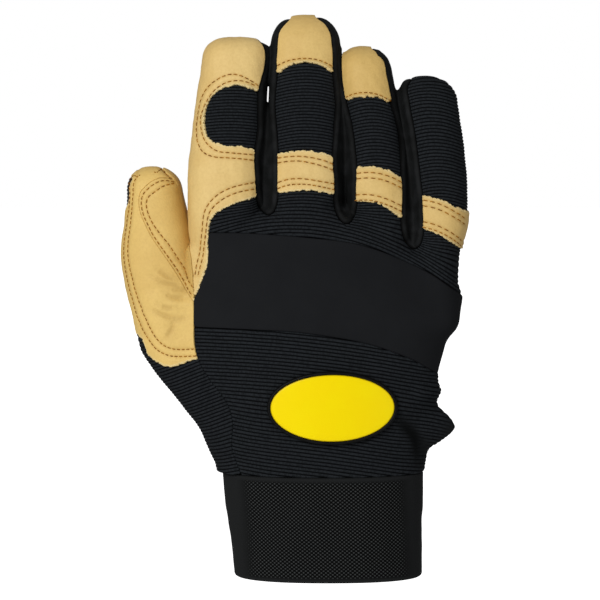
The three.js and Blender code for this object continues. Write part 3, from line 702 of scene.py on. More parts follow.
def front_x(px):
    return VIEW_TARGET[0] + (px - PICTURE / 2) * VIEW_WIDTH / PICTURE


def all_of(*values):
    return np.minimum.reduce(values)


def any_of(*values):
    return np.maximum.reduce(values)


REGIONS = {
    "palm_leather": lambda s: all_of(-s.front, -s.thumb),
    "index_leather": lambda s: all_of(s.leather, s.front, -s.thumb, -s.window,
                                      -s.fork("index_middle")),
    "index_window": lambda s: all_of(s.window, s.front, -s.fork("index_middle")),
    "back_spandex": lambda s: all_of(-s.leather, -s.thumb, -s.forks, s.front,
                                     s.over(panel_top), -s.cap("middle"), -s.cap("ring")),
    "knuckle_panel": lambda s: all_of(-s.leather, -s.thumb, s.front, -s.over(panel_top),
                                      s.over(panel_foot)),
    "lower_back": lambda s: all_of(-s.thumb, s.front, -s.over(panel_foot)),
    "thumb_leather": lambda s: all_of(s.thumb, s.thumb_front, s.over_foot, -s.wing),
    "thumb_inner_leather": lambda s: all_of(
        s.thumb, s.over_foot,
        any_of(all_of(s.wing, s.thumb_front), all_of(-s.thumb_outside, -s.thumb_front),
               s.thumb_back)),
    "thumb_side_spandex": lambda s: all_of(
        s.thumb, any_of(-s.over_foot,
                        all_of(s.thumb_outside, -s.thumb_front, -s.thumb_back))),
}


def between(s, name):
    top, foot = strip_lines[name]
    return all_of(-s.over(top), s.over(foot))


# Distance from the edges that are left as cut
RAW_EDGES = {
    "index_leather": lambda s: all_of(-s.window, to_segments(s.flat, leather_edge)[0]),
    "thumb_leather": lambda s: all_of(s.over_foot, s.thumb_front * 0.8),
}
for key in fork_lines:
    REGIONS["fourchette_" + key] = lambda s, key=key: all_of(s.fork(key), s.front)
for key in cap_lines:
    REGIONS[key + "_tip_cap"] = lambda s, key=key: all_of(s.cap(key), -s.forks, s.front)
    RAW_EDGES[key + "_tip_cap"] = lambda s, key=key: s.over(cap_lines[key])
for key in strip_lines:
    REGIONS[key + "_knuckle_strip"] = lambda s, key=key: all_of(
        between(s, key), -s.forks, s.front, s.span(key))
    RAW_EDGES[key + "_knuckle_strip"] = lambda s, key=key: between(s, key)


# Cutting a panel from the skin
def halved(points, faces):
    """Each triangle split in four, with the new points put on the hand's surface."""
    unique, back = np.unique(np.sort(sides_of(faces), 1), axis=0, return_inverse=True)
    back = back.reshape(-1)
    middle = on_hand((points[unique[:, 0]] + points[unique[:, 1]]) / 2)
    n = len(faces)
    ab, bc, ca = [back[k * n:(k + 1) * n] + len(points) for k in range(3)]
    a, b, c = faces.T
    split = np.vstack([np.stack(t, 1) for t in
                       ((a, ab, ca), (ab, b, bc), (ca, bc, c), (ab, bc, ca))])
    return np.vstack([points, middle]), split


def packed(points, faces):
    """The mesh without the points that no face uses."""
    used, back = np.unique(faces, return_inverse=True)
    return points[used], back.reshape(faces.shape)


def merged(points, faces, digits):
    """The mesh with points that fall together joined, and without the triangles this closes."""
    _, first, back = np.unique(np.round(points, digits), axis=0, return_index=True,
                               return_inverse=True)
    faces = back.reshape(-1)[faces]
    a, b, c = faces.T
    return packed(points[first], faces[(a != b) & (b != c) & (c != a)])


def clipped(points, faces, g, near=0.3):
    """The triangles where g is above nought, cut cleanly along the line where it is nought."""
    a, b = np.unique(np.sort(sides_of(faces), 1), axis=0).T
    cross = (g[a] > 0) != (g[b] > 0)
    a, b = a[cross], b[cross]
    t = g[a] / (g[a] - g[b])
    spot = points[a] + t[:, None] * (points[b] - points[a])
    total, hits = np.zeros_like(points), np.zeros(len(points))
    for ends, close in ((a, t < near), (b, t > 1 - near)):
        np.add.at(total, ends[close], spot[close])
        np.add.at(hits, ends[close], 1)
    snapped = hits > 0
    points, g = points.copy(), g.copy()
    points[snapped] = total[snapped] / hits[snapped, None]
    g[snapped] = 0
    faces = faces[(g[faces] > 0).any(1)]
    out = g[faces] < 0
    whole = faces[~out.any(1)]
    made, fresh, index = [whole], [], {}
    count = len(points)

    def crossing(i, o):
        nonlocal count
        t = (g[i] / (g[i] - g[o]))[:, None]
        fresh.append(points[i] + t * (points[o] - points[i]))
        ids = np.arange(count, count + len(i))
        count += len(i)
        return ids

    for k in range(3):
        turn = [k, (k + 1) % 3, (k + 2) % 3]
        one = faces[(out.sum(1) == 1) & out[:, k]][:, turn]
        o, p, q = one.T
        pq = g[one]
        both = (pq[:, 1] > 0) & (pq[:, 2] > 0)
        left = (pq[:, 1] > 0) & (pq[:, 2] == 0)
        right = (pq[:, 1] == 0) & (pq[:, 2] > 0)
        x1, x2 = crossing(p[both], o[both]), crossing(q[both], o[both])
        made += [np.stack([p[both], q[both], x2], 1), np.stack([p[both], x2, x1], 1)]
        x = crossing(p[left], o[left])
        made.append(np.stack([p[left], q[left], x], 1))
        x = crossing(q[right], o[right])
        made.append(np.stack([p[right], q[right], x], 1))
        two = faces[(out.sum(1) == 2) & ~out[:, k]][:, turn]
        i, p, q = two[g[two[:, 0]] > 0].T
        x1, x2 = crossing(i, p), crossing(i, q)
        made.append(np.stack([i, x1, x2], 1))
    return merged(np.vstack([points] + fresh), np.vstack(made), 4)


def sliced(points, faces, phase, per_rib=4):
    """The triangles cut along the ribs, so that crests and grooves fall on their edges."""
    level = phase * per_rib
    order = np.argsort(level[faces], axis=1)
    flip = np.isin(order[:, 0] * 3 + order[:, 1], (2, 3, 7))
    a, b, c = np.take_along_axis(faces, order, 1).T
    first = np.floor(level[a]).astype(int)
    count = np.maximum(np.ceil(level[c]).astype(int) - first, 1)
    row = np.repeat(np.arange(len(faces)), count)
    step = np.arange(count.sum()) - np.repeat(np.cumsum(count) - count, count)
    low = np.maximum(first[row] + step, level[a[row]])
    high = np.minimum(first[row] + step + 1, level[c[row]])
    a, b, c, flip = a[row], b[row], c[row], flip[row]

    def on(i, j, at):
        t = ((at - level[i]) / np.maximum(level[j] - level[i], 1e-9)).clip(0, 1)[:, None]
        return points[i] + t * (points[j] - points[i])

    def by_middle(at):
        return np.where((at < level[b])[:, None], on(a, b, at), on(b, c, at))

    bend = by_middle(np.clip(level[b], low, high))
    ring = [on(a, c, low), by_middle(low), bend, by_middle(high), on(a, c, high)]
    spots = np.stack(ring, 1).reshape(-1, 3)
    ids = np.arange(len(spots)).reshape(-1, 5)
    made = np.vstack([ids[:, [0, k, k + 1]] for k in (1, 2, 3)])
    turned = np.tile(flip, 3)
    made[turned] = made[turned][:, ::-1]
    return merged(spots, made, 3)


def rim_edges(faces):
    edges = sides_of(faces)
    key = edges[:, 0].astype(np.int64) * (faces.max() + 1) + edges[:, 1]
    twin = edges[:, 1].astype(np.int64) * (faces.max() + 1) + edges[:, 0]
    return edges[~np.isin(key, twin)]


RIM_ROWS = 4


def turned_in(points, faces, normals, height, curve, deep):
    """Raises the sheet by height and rolls its rim over and down, in RIM_ROWS rows of points."""
    rim = rim_edges(faces)
    outward = np.zeros_like(points)
    along = unit(points[rim[:, 1]] - points[rim[:, 0]])
    side = np.cross(along, unit(normals[rim[:, 0]] + normals[rim[:, 1]]))
    np.add.at(outward, rim[:, 0], side)
    np.add.at(outward, rim[:, 1], side)
    ring = np.unique(rim)
    outward, inward = unit(outward[ring]), normals[ring]
    sheet = points + normals * height[:, None]
    rows, base = [sheet], len(points)
    number = np.full(len(points), -1)
    number[ring] = np.arange(len(ring))
    before, made = ring, [faces]
    steps = [(math.sin(a), 1 - math.cos(a)) for a in np.radians((30, 60, 90))]
    steps = [(s * curve, c * curve) for s, c in steps] + [(curve, curve + deep)]
    for out, down in steps:
        rows.append(sheet[ring] + outward * out - inward * down)
        now = np.arange(base, base + len(ring))
        i, j = number[rim[:, 0]], number[rim[:, 1]]
        quad = np.stack([before[i], now[i], now[j], before[j]], 1)
        made += [quad[:, [0, 1, 2]], quad[:, [0, 2, 3]]]
        before, base = now, base + len(ring)
    return np.vstack(rows), np.vstack(made), ring


def mesh_object(name, points, faces, layers=None, smooth=True):
    """A mesh from points in mm, with a float layer for each named set of numbers."""
    mesh = bpy.data.meshes.new(name)
    mesh.vertices.add(len(points))
    mesh.vertices.foreach_set("co", (np.asarray(points) * MM).astype(np.float32).ravel())
    sides = faces.shape[1]
    mesh.loops.add(faces.size)
    mesh.loops.foreach_set("vertex_index", faces.astype(np.int32).ravel())
    mesh.polygons.add(len(faces))
    mesh.polygons.foreach_set("loop_start", np.arange(0, faces.size, sides, dtype=np.int32))
    mesh.polygons.foreach_set("use_smooth", np.full(len(faces), smooth))
    for key, values in (layers or {}).items():
        layer = mesh.attributes.new(key, "FLOAT", "POINT")
        layer.data.foreach_set("value", np.asarray(values, np.float32))
    mesh.update(calc_edges=True)
    mesh.validate()
    made = bpy.data.objects.new(name, mesh)
    bpy.context.scene.collection.objects.link(made)
    return made


# How the cloth's ribs lie: a number that grows by one from rib to rib
def back_ribs(p):
    x, _, z = p.T
    limbs = [fingers[name] for name in ("middle", "ring", "pinky")]
    offs = np.stack([limb.field(p, 80) for limb in limbs])
    which = np.argmin(offs, 0)
    arch = np.zeros(len(p))
    for k, limb in enumerate(limbs):
        cx, _, half, _ = limb.section(z)
        own = z + 3.2 * np.clip((x - cx) / half, -1.3, 1.3) ** 2 + knuckle_drop(cx)
        arch = np.where(which == k, own, arch)
    level = z + knuckle_drop(x) * (0.35 + 0.65 * smoothstep(z, 58, 112))
    share = smoothstep(level, float(up(0.98)), float(up(1.16)))
    level = level * (1 - share) + arch * share
    return (level + 0.15 * np.maximum(level - float(up(1.08)), 0)) / RIB_PITCH


def lower_ribs(p):
    x, _, z = p.T
    near = np.exp(-(((x - 40) / 14) ** 2 + ((z - 62) / 14) ** 2))
    drawn = 2.4 * (1 - np.exp(-np.maximum(x + 44, 0) / 9)) * smoothstep(-z, -86, -66)
    return (z + 0.13 * x + 0.0013 * x * x - 0.09 * near * (x - 28) + drawn) / RIB_PITCH


def window_ribs(p):
    x, _, z = p.T
    cx, _, half, _ = fingers["index"].section(z)
    return 1.18 * (z + 1.6 * ((x - cx) / half) ** 2) / RIB_PITCH


def gusset_ribs(p):
    x, _, z = p.T
    tilt = 0.42 * smoothstep(-z, -125, -92) - 0.16 * smoothstep(-z, -75, -50)
    return (z - tilt * (x + 55)) / RIB_PITCH


# Stitch rows as lines in the plane of the hand's back
stitch_lines = {name: [rounded(seen(points), 1.2) for _, points in rows]
                for name, rows in STITCH_ROWS.items()}
crease_lines = [rounded(seen(points), 1.5) for points in CREASES]
cloth_lines = [rounded(seen(points), 1.5) for points in CLOTH_CREASES]


def near_lines(p, lines, width, reach=3):
    """For each line, the points close to it, how far off they are and at which segment."""
    for line in lines:
        flat, drawn = p[:, [0, 2]], line[:, [0, 2]]
        close = ((flat > drawn.min(0) - reach * width)
                 & (flat < drawn.max(0) + reach * width)).all(1)
        if close.any():
            yield close, *to_segments(flat[close], drawn), len(line)


def on_lines(p, lines, width):
    """One on a line, fading to nought at about twice the width from it."""
    best = np.full(len(p), 1e9)
    for close, gap, _, _ in near_lines(p, lines, width):
        best[close] = np.minimum(best[close], gap)
    return np.exp(-((best / width) ** 2))


def soft_line(p, lines, width):
    """As on_lines, with the ends of each line dying away."""
    total = np.zeros(len(p))
    for close, gap, where, count in near_lines(p, lines, width):
        share = np.clip(where / max(count - 2, 1) * 0.9 + 0.05, 0, 1)
        total[close] = np.maximum(total[close], np.exp(-((gap / width) ** 2))
                                  * np.sin(np.pi * share) ** 0.6)
    return total


def smooth_cloth(p):
    """How far the ribs die away: at the tip of the fold and in the crease beside it."""
    tip = np.exp(-(((p[:, 0] - 54) / 4.5) ** 2 + ((p[:, 2] - 64) / 5.5) ** 2))
    return np.maximum(tip, soft_line(p, cloth_lines, 2.6))


# How a panel's surface lies over the hand, from points and their distance from its edge
def leather_lie(name):
    def lie(p, edge):
        drawn = on_lines(p, stitch_lines.get(name, []), 0.75)
        return -0.30 * drawn + 0.10 * ripple(p, 9, 4) + 0.05 * ripple(p, 3.5, 5)
    return lie


def thumb_lie(name):
    def lie(p, edge):
        worn = 0.30 * ripple(p * [1, 1, 1.4], 8, 6)
        region = np.exp(-((p[:, 0] + 68) / 16) ** 2 - ((p[:, 2] - 115) / 20) ** 2)
        drawn = on_lines(p, stitch_lines.get(name, []), 0.75)
        return (-0.30 * drawn + 0.08 * ripple(p, 9, 4) + region * worn
                - 0.55 * soft_line(p, crease_lines, 0.9))
    return lie


def cloth_lie(p, edge):
    return (-0.28 * np.exp(-np.maximum(edge, 0) / 1.3) + 0.12 * ripple(p, 16, 8)
            + 0.05 * ripple(p, 5, 9))


def at_corner(p, foot, top):
    """One beside the lower right corner of the neoprene, between two heights."""
    return smoothstep(p[:, 0], 33, 46) * smoothstep(p[:, 2], foot, top)


def lower_lie(p, edge):
    return (cloth_lie(p, edge) - 1.5 * soft_line(p, cloth_lines[:1], 2.2)
            + 0.45 * at_corner(p, 79, 87))


def fourchette_lie(p, edge):
    piping = np.exp(-(((edge - 1.5) / 0.9) ** 2))
    return 0.55 * piping - 0.45 * np.exp(-np.maximum(edge, 0) / 0.4) + 0.05 * ripple(p, 6, 10)


def panel_lie(p, edge):
    return (-0.35 * np.exp(-np.maximum(edge, 0) / 1.0) + 0.10 * ripple(p, 22, 11)
            + 0.03 * ripple(p, 6, 12) - 0.85 * at_corner(p, 100, 89))


# Each panel: layer height, roll of the edge, depth of the rim, whether its mesh is the finer one,
# how its surface lies, its ribs, how frayed it is and how yellow its leather is
def leather(name, tone, frayed=0.80, height=LEATHER_PROUD, curve=0.40, deep=1.2, fine=True,
            lie=leather_lie):
    return height, curve, deep, fine, lie(name), None, frayed, tone


def cloth(ribs, curve=0.40, deep=1.2, lie=cloth_lie):
    return 0.0, curve, deep, False, lie, ribs, 0.0, 0.0


side_wall = (0.0, 0.30, 1.2, True, fourchette_lie, None, 0.0, 0.0)
PANELS = {
    "palm_leather": leather("palm", 0.55, 0.0, curve=0.45, deep=1.3, fine=False),
    "index_leather": leather("index_leather", 0.30),
    "index_window": cloth(window_ribs, 0.35, 1.0),
    "back_spandex": cloth(back_ribs),
    "knuckle_panel": (NEOPRENE_PROUD, 0.60, 1.4, False, panel_lie, None, 0.0, 0.0),
    "lower_back": cloth(lower_ribs, lie=lower_lie),
    "fourchette_index_middle": side_wall,
    "fourchette_middle_ring": side_wall,
    "fourchette_ring_pinky": side_wall,
    "middle_tip_cap": leather("middle_tip_cap", 0.50),
    "ring_tip_cap": leather("ring_tip_cap", 0.60),
    "middle_knuckle_strip": leather("middle_knuckle_strip", 0.25, 0.60, STRIP_PROUD),
    "ring_knuckle_strip": leather("ring_knuckle_strip", 0.35, 0.60, STRIP_PROUD),
    "pinky_knuckle_strip": leather("pinky_knuckle_strip", 0.35, 0.60, STRIP_PROUD),
    "thumb_leather": leather("thumb_leather", 0.85, 0.40, lie=thumb_lie),
    "thumb_inner_leather": leather("thumb_inner_leather", 0.80, 0.05, LEATHER_PROUD + 0.15,
                                   0.35, lie=thumb_lie),
    "thumb_side_spandex": cloth(gusset_ribs, 0.35, 1.0),
}
# How far painted shade darkens the leather of the panels that the light reaches least
DARKER = {"middle_tip_cap": 0.14, "ring_tip_cap": 0.34, "ring_knuckle_strip": 0.16,
          "pinky_knuckle_strip": 0.18}
SLOTS = {row["node"]: row["material_slot"] for row in frame["record"]["subparts"]}

skin_places = Places(skin_points)
above_cuff = np.where(skin_points[:, 2] > CUFF_HEIGHT - 4.5, 9, -9)


def panel_sheet(name, fine, curve, frayed):
    """The part of the skin within a panel's seams, less the roll of its edge."""
    g = np.minimum(REGIONS[name](skin_places), above_cuff)
    points, faces = packed(skin_points, skin_faces[(g[skin_faces] > -1.6).any(1)])
    if fine:
        points, faces = halved(points, faces)
    g = REGIONS[name](Places(points)) - curve
    if frayed:
        cut = RAW_EDGES[name](Places(points)) if name in RAW_EDGES else g
        uneven = frayed * (0.6 * ripple(points, 1.6, 21) + 0.8 * ripple(points, 0.9, 22))
        g = g + uneven * np.exp(-np.abs(cut - curve) / 1.2)
    hem = 0.5 if SLOTS[name] == "ribbed_spandex" else -0.4
    return clipped(points, faces, np.minimum(g, points[:, 2] - CUFF_HEIGHT - hem))


def leather_layers(name, points, ring, tone):
    """The leather's layers, and what a layer holds along the rim where that is something else."""
    thumb_piece = name.startswith("thumb")
    none = np.zeros(len(points))
    x, _, half, _ = thumb.section(points[:, 2])
    # Painted shade on the thumb's side turned away from the light
    turned = 0.50 * smoothstep((points[:, 0] - x) / half, 0.15, 1.0)
    raw = RAW_EDGES[name](Places(points)) if name in RAW_EDGES else none + 9.0
    return {
        "crease": soft_line(points, crease_lines, 1.3) if thumb_piece else none,
        "drawn": on_lines(points, stitch_lines.get(name, []), 0.6),
        "painted_shade": (turned * smoothstep(points[:, 2], 112, 130) if thumb_piece
                 else none + DARKER.get(name, 0.0)),
        "tone": none + tone,
        "raw": raw,
    }, {"raw": [np.where(np.abs(raw[ring]) < 1.5, 0.1, 9.0)] * RIM_ROWS}


def cut_panel(name):
    height, curve, deep, fine, lie, ribs, frayed, tone = PANELS[name]
    points, faces = panel_sheet(name, fine, curve, frayed)
    if ribs:
        points, faces = sliced(points, faces, ribs(points))
    points, normals = settled(points)
    edge = REGIONS[name](Places(points))
    rise = height + lie(points, edge)
    layers, rim = {"edge": edge}, {}
    if ribs:
        phase, lower = ribs(points), name == "lower_back"
        layers["rib"] = phase
        layers["plain"] = smooth_cloth(points) if lower else 0 * edge
        layers["crease_shade"] = soft_line(points, cloth_lines[:1], 2.6) if lower else 0 * edge
        crest = np.abs(np.sin(np.pi * phase)) ** 0.8 - 0.6
        rise += RIB_HEIGHT * crest * smoothstep(edge, 0.2, 1.6) * (1 - layers["plain"])
    sheet, made, ring = turned_in(points, faces, normals, rise, curve, deep)
    if SLOTS[name] == "leather_tan":
        more, rim = leather_layers(name, points, ring, tone)
        layers.update(more)
    rim["edge"] = [np.full(len(ring), value) for value in (0.2, 0.1, 0.0, 0.0)]
    layers = {key: np.concatenate([values] + rim.get(key, [values[ring]] * RIM_ROWS))
              for key, values in layers.items()}
    return mesh_object(name + "_cover", sheet, made, layers)


covers = {name: cut_panel(name) for name in PANELS}


# Materials
class Nodes:
    """Short names for building a node material."""

    def __init__(self, name):
        self.material = bpy.data.materials.new(name)
        self.material.use_nodes = True
        self.tree = self.material.node_tree
        self.shader = self.tree.nodes["Principled BSDF"]

    def put(self, socket, value):
        if isinstance(value, bpy.types.NodeSocket):
            self.tree.links.new(value, socket)
        elif isinstance(value, tuple) and socket.type == "RGBA":
            socket.default_value = (*value, 1.0)
        elif value is not None:
            socket.default_value = value

    def add(self, kind, links=None, **settings):
        node = self.tree.nodes.new(kind)
        for key, value in settings.items():
            setattr(node, key, value)
        for key, value in (links or {}).items():
            self.put(node.inputs[key], value)
        return node

    def layer(self, name):
        return self.add("ShaderNodeAttribute", attribute_name=name).outputs["Fac"]

    def math(self, operation, *values, clamp=False):
        return self.add("ShaderNodeMath", dict(enumerate(values)), operation=operation,
                        use_clamp=clamp).outputs[0]

    def place(self, scale=(1, 1, 1)):
        spot = self.add("ShaderNodeTexCoord").outputs["Object"]
        return self.add("ShaderNodeMapping", {"Vector": spot, "Scale": scale}).outputs[0]

    def noise(self, where, scale, detail=2.0, rough=0.5):
        return self.add("ShaderNodeTexNoise", {"Vector": where, "Scale": scale, "Detail": detail,
                                               "Roughness": rough}).outputs["Fac"]

    def ramp(self, value, low, high, to_low=0.0, to_high=1.0):
        return self.add("ShaderNodeMapRange",
                        {"Value": value, "From Min": low, "From Max": high, "To Min": to_low,
                         "To Max": to_high}, interpolation_type="SMOOTHSTEP").outputs[0]

    def mix(self, share, a, b):
        # Sockets 0, 6, 7 and 2 are the factor, the two colours and the mixed colour
        return self.add("ShaderNodeMix", {0: share, 6: a, 7: b}, data_type="RGBA").outputs[2]

    def bump(self, height, depth, normal=None):
        return self.add("ShaderNodeBump", {"Height": height, "Distance": depth * MM,
                                           "Strength": 1.0, "Normal": normal}).outputs[0]

    def finish(self, color, roughness, normal=None, **settings):
        given = {"Base_Color": color, "Roughness": roughness, "Normal": normal, **settings}
        for key, value in given.items():
            self.put(self.shader.inputs[key.replace("_", " ")], value)
        return self.material


def shade(r, g, b):
    """A screen colour, 0 to 255, as the light that it stands for."""
    return tuple((v / 12.92 if v <= 0.04045 else ((v + 0.055) / 1.055) ** 2.4)
                 for v in (r / 255, g / 255, b / 255))


def leather_material():
    n = Nodes("leather_tan")
    spot = n.place()
    tone = n.layer("tone")
    base = n.mix(tone, shade(232, 202, 139), shade(233, 197, 114))
    cloudy = n.ramp(n.noise(spot, 45, 3), 0.35, 0.7)
    base = n.mix(n.math("MULTIPLY", cloudy, 0.35), base, shade(206, 166, 92))
    fine = n.ramp(n.noise(spot, 900, 3, 0.65), 0.35, 0.75)
    base = n.mix(n.math("MULTIPLY", fine, 0.16), base, shade(188, 146, 78))
    raw = n.ramp(n.math("ADD", n.layer("raw"), n.math("MULTIPLY", n.noise(spot, 1500, 2), 0.7)),
                 0.75, 1.35, 1.0, 0.0)
    fuzz = n.ramp(n.noise(spot, 2200, 2), 0.38, 0.62, 0.35, 0.85)
    base = n.mix(n.math("MULTIPLY", raw, fuzz), base, shade(232, 212, 158))
    # Painted shade: the thumb's side away from the light and the panels the light reaches least
    base = n.mix(n.layer("painted_shade"), base, shade(176, 138, 66))
    # Painted shade in the thumb's creases
    base = n.mix(n.math("MULTIPLY", n.layer("crease"), 0.28), base, shade(150, 112, 50))
    # Painted shade along the stitch rows, where the thread draws the leather in
    base = n.mix(n.math("MULTIPLY", n.layer("drawn"), 0.30), base, shade(186, 142, 66))
    pores = n.add("ShaderNodeTexVoronoi", {"Vector": spot, "Scale": 1100.0},
                  feature="F1").outputs["Distance"]
    grain = n.math("ADD", n.math("MULTIPLY", pores, 0.5), n.math("MULTIPLY", fine, 0.8))
    normal = n.bump(grain, 0.06)
    normal = n.bump(n.math("MULTIPLY", n.noise(spot, 2600, 2), raw), 0.22, normal)
    rough = n.ramp(raw, 0, 1, 0.56, 0.95)
    return n.finish(base, rough, normal, Specular_IOR_Level=0.22)


def rib_material():
    n = Nodes("ribbed_spandex")
    spot = n.place()
    wander = n.math("MULTIPLY", n.math("SUBTRACT", n.noise(spot, 120, 2), 0.5), 0.22)
    phase = n.math("ADD", n.layer("rib"), wander)
    wave = n.math("ABSOLUTE", n.math("SINE", n.math("MULTIPLY", phase, math.pi)))
    ridge = n.math("POWER", wave, 0.75)
    knit = n.noise(n.place((2600, 2600, 900)), 1.0, 2)
    height = n.math("ADD", n.math("MULTIPLY", ridge, 0.5), n.math("MULTIPLY", knit, 0.22))
    normal = n.bump(height, 0.30)
    lit = n.ramp(n.math("ADD", wave, n.math("MULTIPLY", knit, 0.25)), 0.25, 1.0)
    color = n.mix(lit, shade(1, 1, 2), shade(37, 40, 43))
    specks = n.ramp(n.noise(n.place((1500, 1500, 700)), 1.0, 1), 0.45, 0.62)
    color = n.mix(n.math("MULTIPLY", specks, 0.45), color, shade(12, 13, 14))
    color = n.mix(n.layer("plain"), color, shade(27, 29, 30))
    # Painted shade in the crease beside the fold
    color = n.mix(n.math("MULTIPLY", n.layer("crease_shade"), 0.85), color, shade(5, 6, 6))
    return n.finish(color, 0.85, normal, Specular_IOR_Level=0.05)


def knit_material():
    n = Nodes("smooth_knit")
    spot = n.place()
    weave = n.noise(n.place((2400, 2400, 1300)), 1.0, 2)
    edge = n.layer("edge")
    worn = n.ramp(n.noise(spot, 160, 3), 0.4, 0.7)
    color = n.mix(worn, shade(19, 20, 20), shade(29, 30, 31))
    color = n.mix(n.ramp(edge, 0.1, 0.8, 1.0, 0.0), color, shade(3, 3, 3))
    normal = n.bump(weave, 0.10)
    return n.finish(color, 0.72, normal, Specular_IOR_Level=0.08)


def neoprene_material():
    n = Nodes("neoprene")
    spot = n.place()
    jersey = n.noise(n.place((1700, 1700, 1100)), 1.0, 2)
    cloud = n.ramp(n.noise(spot, 30, 3), 0.3, 0.75)
    color = n.mix(cloud, shade(26, 27, 29), shade(30, 31, 33))
    normal = n.bump(jersey, 0.05)
    return n.finish(color, 0.88, normal, Specular_IOR_Level=0.05)


def elastic_material():
    n = Nodes("woven_elastic")
    spot = n.place()
    u, v = n.layer("u"), n.layer("v")
    knots = n.math("MULTIPLY", n.math("COSINE", n.math("MULTIPLY", u, 2 * math.pi / WEAVE[0])),
                   n.math("COSINE", n.math("MULTIPLY", v, 2 * math.pi / WEAVE[1])))
    knots = n.math("ADD", n.math("MULTIPLY", knots, 0.5), 0.5)
    rows = n.math("SINE", n.math("MULTIPLY", v, 2 * math.pi / 0.9))
    rows = n.math("ADD", n.math("MULTIPLY", rows, 0.5), 0.5)
    plain = n.layer("plain")
    fibre = n.noise(n.place((900, 900, 2600)), 1.0, 3)
    weave = n.math("ADD", n.math("MULTIPLY", knots, n.math("SUBTRACT", 1.0, plain)),
                   n.math("MULTIPLY", rows, n.math("MULTIPLY", plain, 0.25)))
    height = n.math("ADD", weave, n.math("MULTIPLY", fibre, 0.25))
    normal = n.bump(height, 0.10)
    lit = n.math("ADD", n.ramp(weave, 0.42, 1.0), n.math("MULTIPLY", plain, 0.30), clamp=True)
    color = n.mix(lit, shade(1, 1, 1), shade(62, 64, 64))
    color = n.mix(n.math("MULTIPLY", plain, 0.6), color, shade(29, 30, 31))
    return n.finish(color, 0.8, normal, Specular_IOR_Level=0.06)


def thread_material(name, low, high):
    n = Nodes(name)
    fibre = n.noise(n.place((900, 900, 900)), 1.0, 3)
    color = n.mix(n.ramp(fibre, 0.35, 0.65), low, high)
    normal = n.bump(n.noise(n.place((3000, 3000, 3000)), 1.0, 2), 0.08)
    return n.finish(color, 0.7, normal, Specular_IOR_Level=0.12)


def badge_black_material():
    n = Nodes("badge_black")
    spot = n.place()
    normal = n.bump(n.noise(spot, 900, 3), 0.03)
    color = n.mix(n.ramp(n.noise(spot, 240, 2), 0.35, 0.7), shade(4, 4, 4), shade(9, 9, 9))
    return n.finish(color, 0.5, normal, Specular_IOR_Level=0.12)


def badge_yellow_material():
    n = Nodes("badge_yellow")
    spot = n.place()
    normal = n.bump(n.noise(spot, 500, 3), 0.02)
    color = n.mix(n.ramp(n.noise(spot, 70, 3), 0.35, 0.7), shade(255, 228, 0), shade(255, 225, 0))
    color = n.mix(n.ramp(n.layer("edge"), 0.0, 0.7, 0.7, 0.0), color, shade(196, 160, 4))
    return n.finish(color, 0.32, normal, Specular_IOR_Level=0.09, Coat_Weight=0.03,
                    Coat_Roughness=0.25)


MATERIALS = {
    "leather_tan": leather_material(),
    "ribbed_spandex": rib_material(),
    "smooth_knit": knit_material(),
    "neoprene": neoprene_material(),
    "woven_elastic": elastic_material(),
    "badge_black": badge_black_material(),
    "badge_yellow": badge_yellow_material(),
}
tan_thread = thread_material("tan_thread", shade(122, 70, 6), shade(178, 118, 26))


def give(piece, node, slot):
    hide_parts(node)
    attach(piece, "root")
    piece.data.materials.append(MATERIALS[slot])


for name, cover in covers.items():
    give(cover, name, SLOTS[name])


# Stitches: how much of the pitch a thread covers, how thick it is and how far it lies proud
STITCH_SIDES = 6
STITCH_LENGTH = 0.86
STITCH_THICK = 0.21
STITCH_PROUD = 0.12
# Along a thread: place, thickness and lift
STITCH_ROWS_ALONG = np.array([(-1, 0.45, -0.35), (-0.62, 0.95, 0.02), (0, 1.0, 0.08),
                              (0.62, 0.95, 0.02), (1, 0.45, -0.35)])


def stitch_mesh(line, pitch, rise):
    """Short threads along a line, each dipping into the leather at both ends."""
    steps = np.linalg.norm(np.diff(line, axis=0), axis=1)
    run = np.concatenate([[0], np.cumsum(steps)])
    count = max(1, int(run[-1] / pitch))
    middles = (np.arange(count) + 0.5) * run[-1] / count
    place, thick, lift = STITCH_ROWS_ALONG.T
    turn = 2 * np.pi * np.arange(STITCH_SIDES) / STITCH_SIDES
    points, faces = [], []
    for middle in middles:
        ends = middle + place * pitch * STITCH_LENGTH / 2
        spots = np.stack([np.interp(ends, run, line[:, k]) for k in range(3)], 1)
        spots, normals = settled(spots)
        proud = rise(spots) + lift
        along = unit(np.gradient(spots, axis=0))
        side = unit(np.cross(along, normals))
        top = np.cross(side, along)
        start = len(points) * STITCH_SIDES
        for k in range(len(place)):
            points.append(spots[k] + normals[k] * proud[k] + thick[k] * STITCH_THICK * (
                np.cos(turn)[:, None] * side[k] + 0.75 * np.sin(turn)[:, None] * top[k]))
        for k in range(len(place) - 1):
            a = start + k * STITCH_SIDES + np.arange(STITCH_SIDES)
            b = start + k * STITCH_SIDES + (np.arange(STITCH_SIDES) + 1) % STITCH_SIDES
            faces.append(np.stack([a, b, b + STITCH_SIDES, a + STITCH_SIDES], 1))
    return np.vstack(points), np.vstack(faces)


for name, rows in STITCH_ROWS.items():
    height, lie = PANELS[name][0], PANELS[name][4]
    rise = lambda p: height + STITCH_PROUD + lie(p, np.full(len(p), 9.0))
    points, faces, base = [], [], 0
    for (pitch, _), line in zip(rows, stitch_lines[name]):
        p, f = stitch_mesh(line, pitch, rise)
        points.append(p)
        faces.append(f + base)
        base += len(p)
    sewn = mesh_object(name + "_stitches", np.vstack(points), np.vstack(faces))
    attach(sewn, "root")
    sewn.data.materials.append(tan_thread)


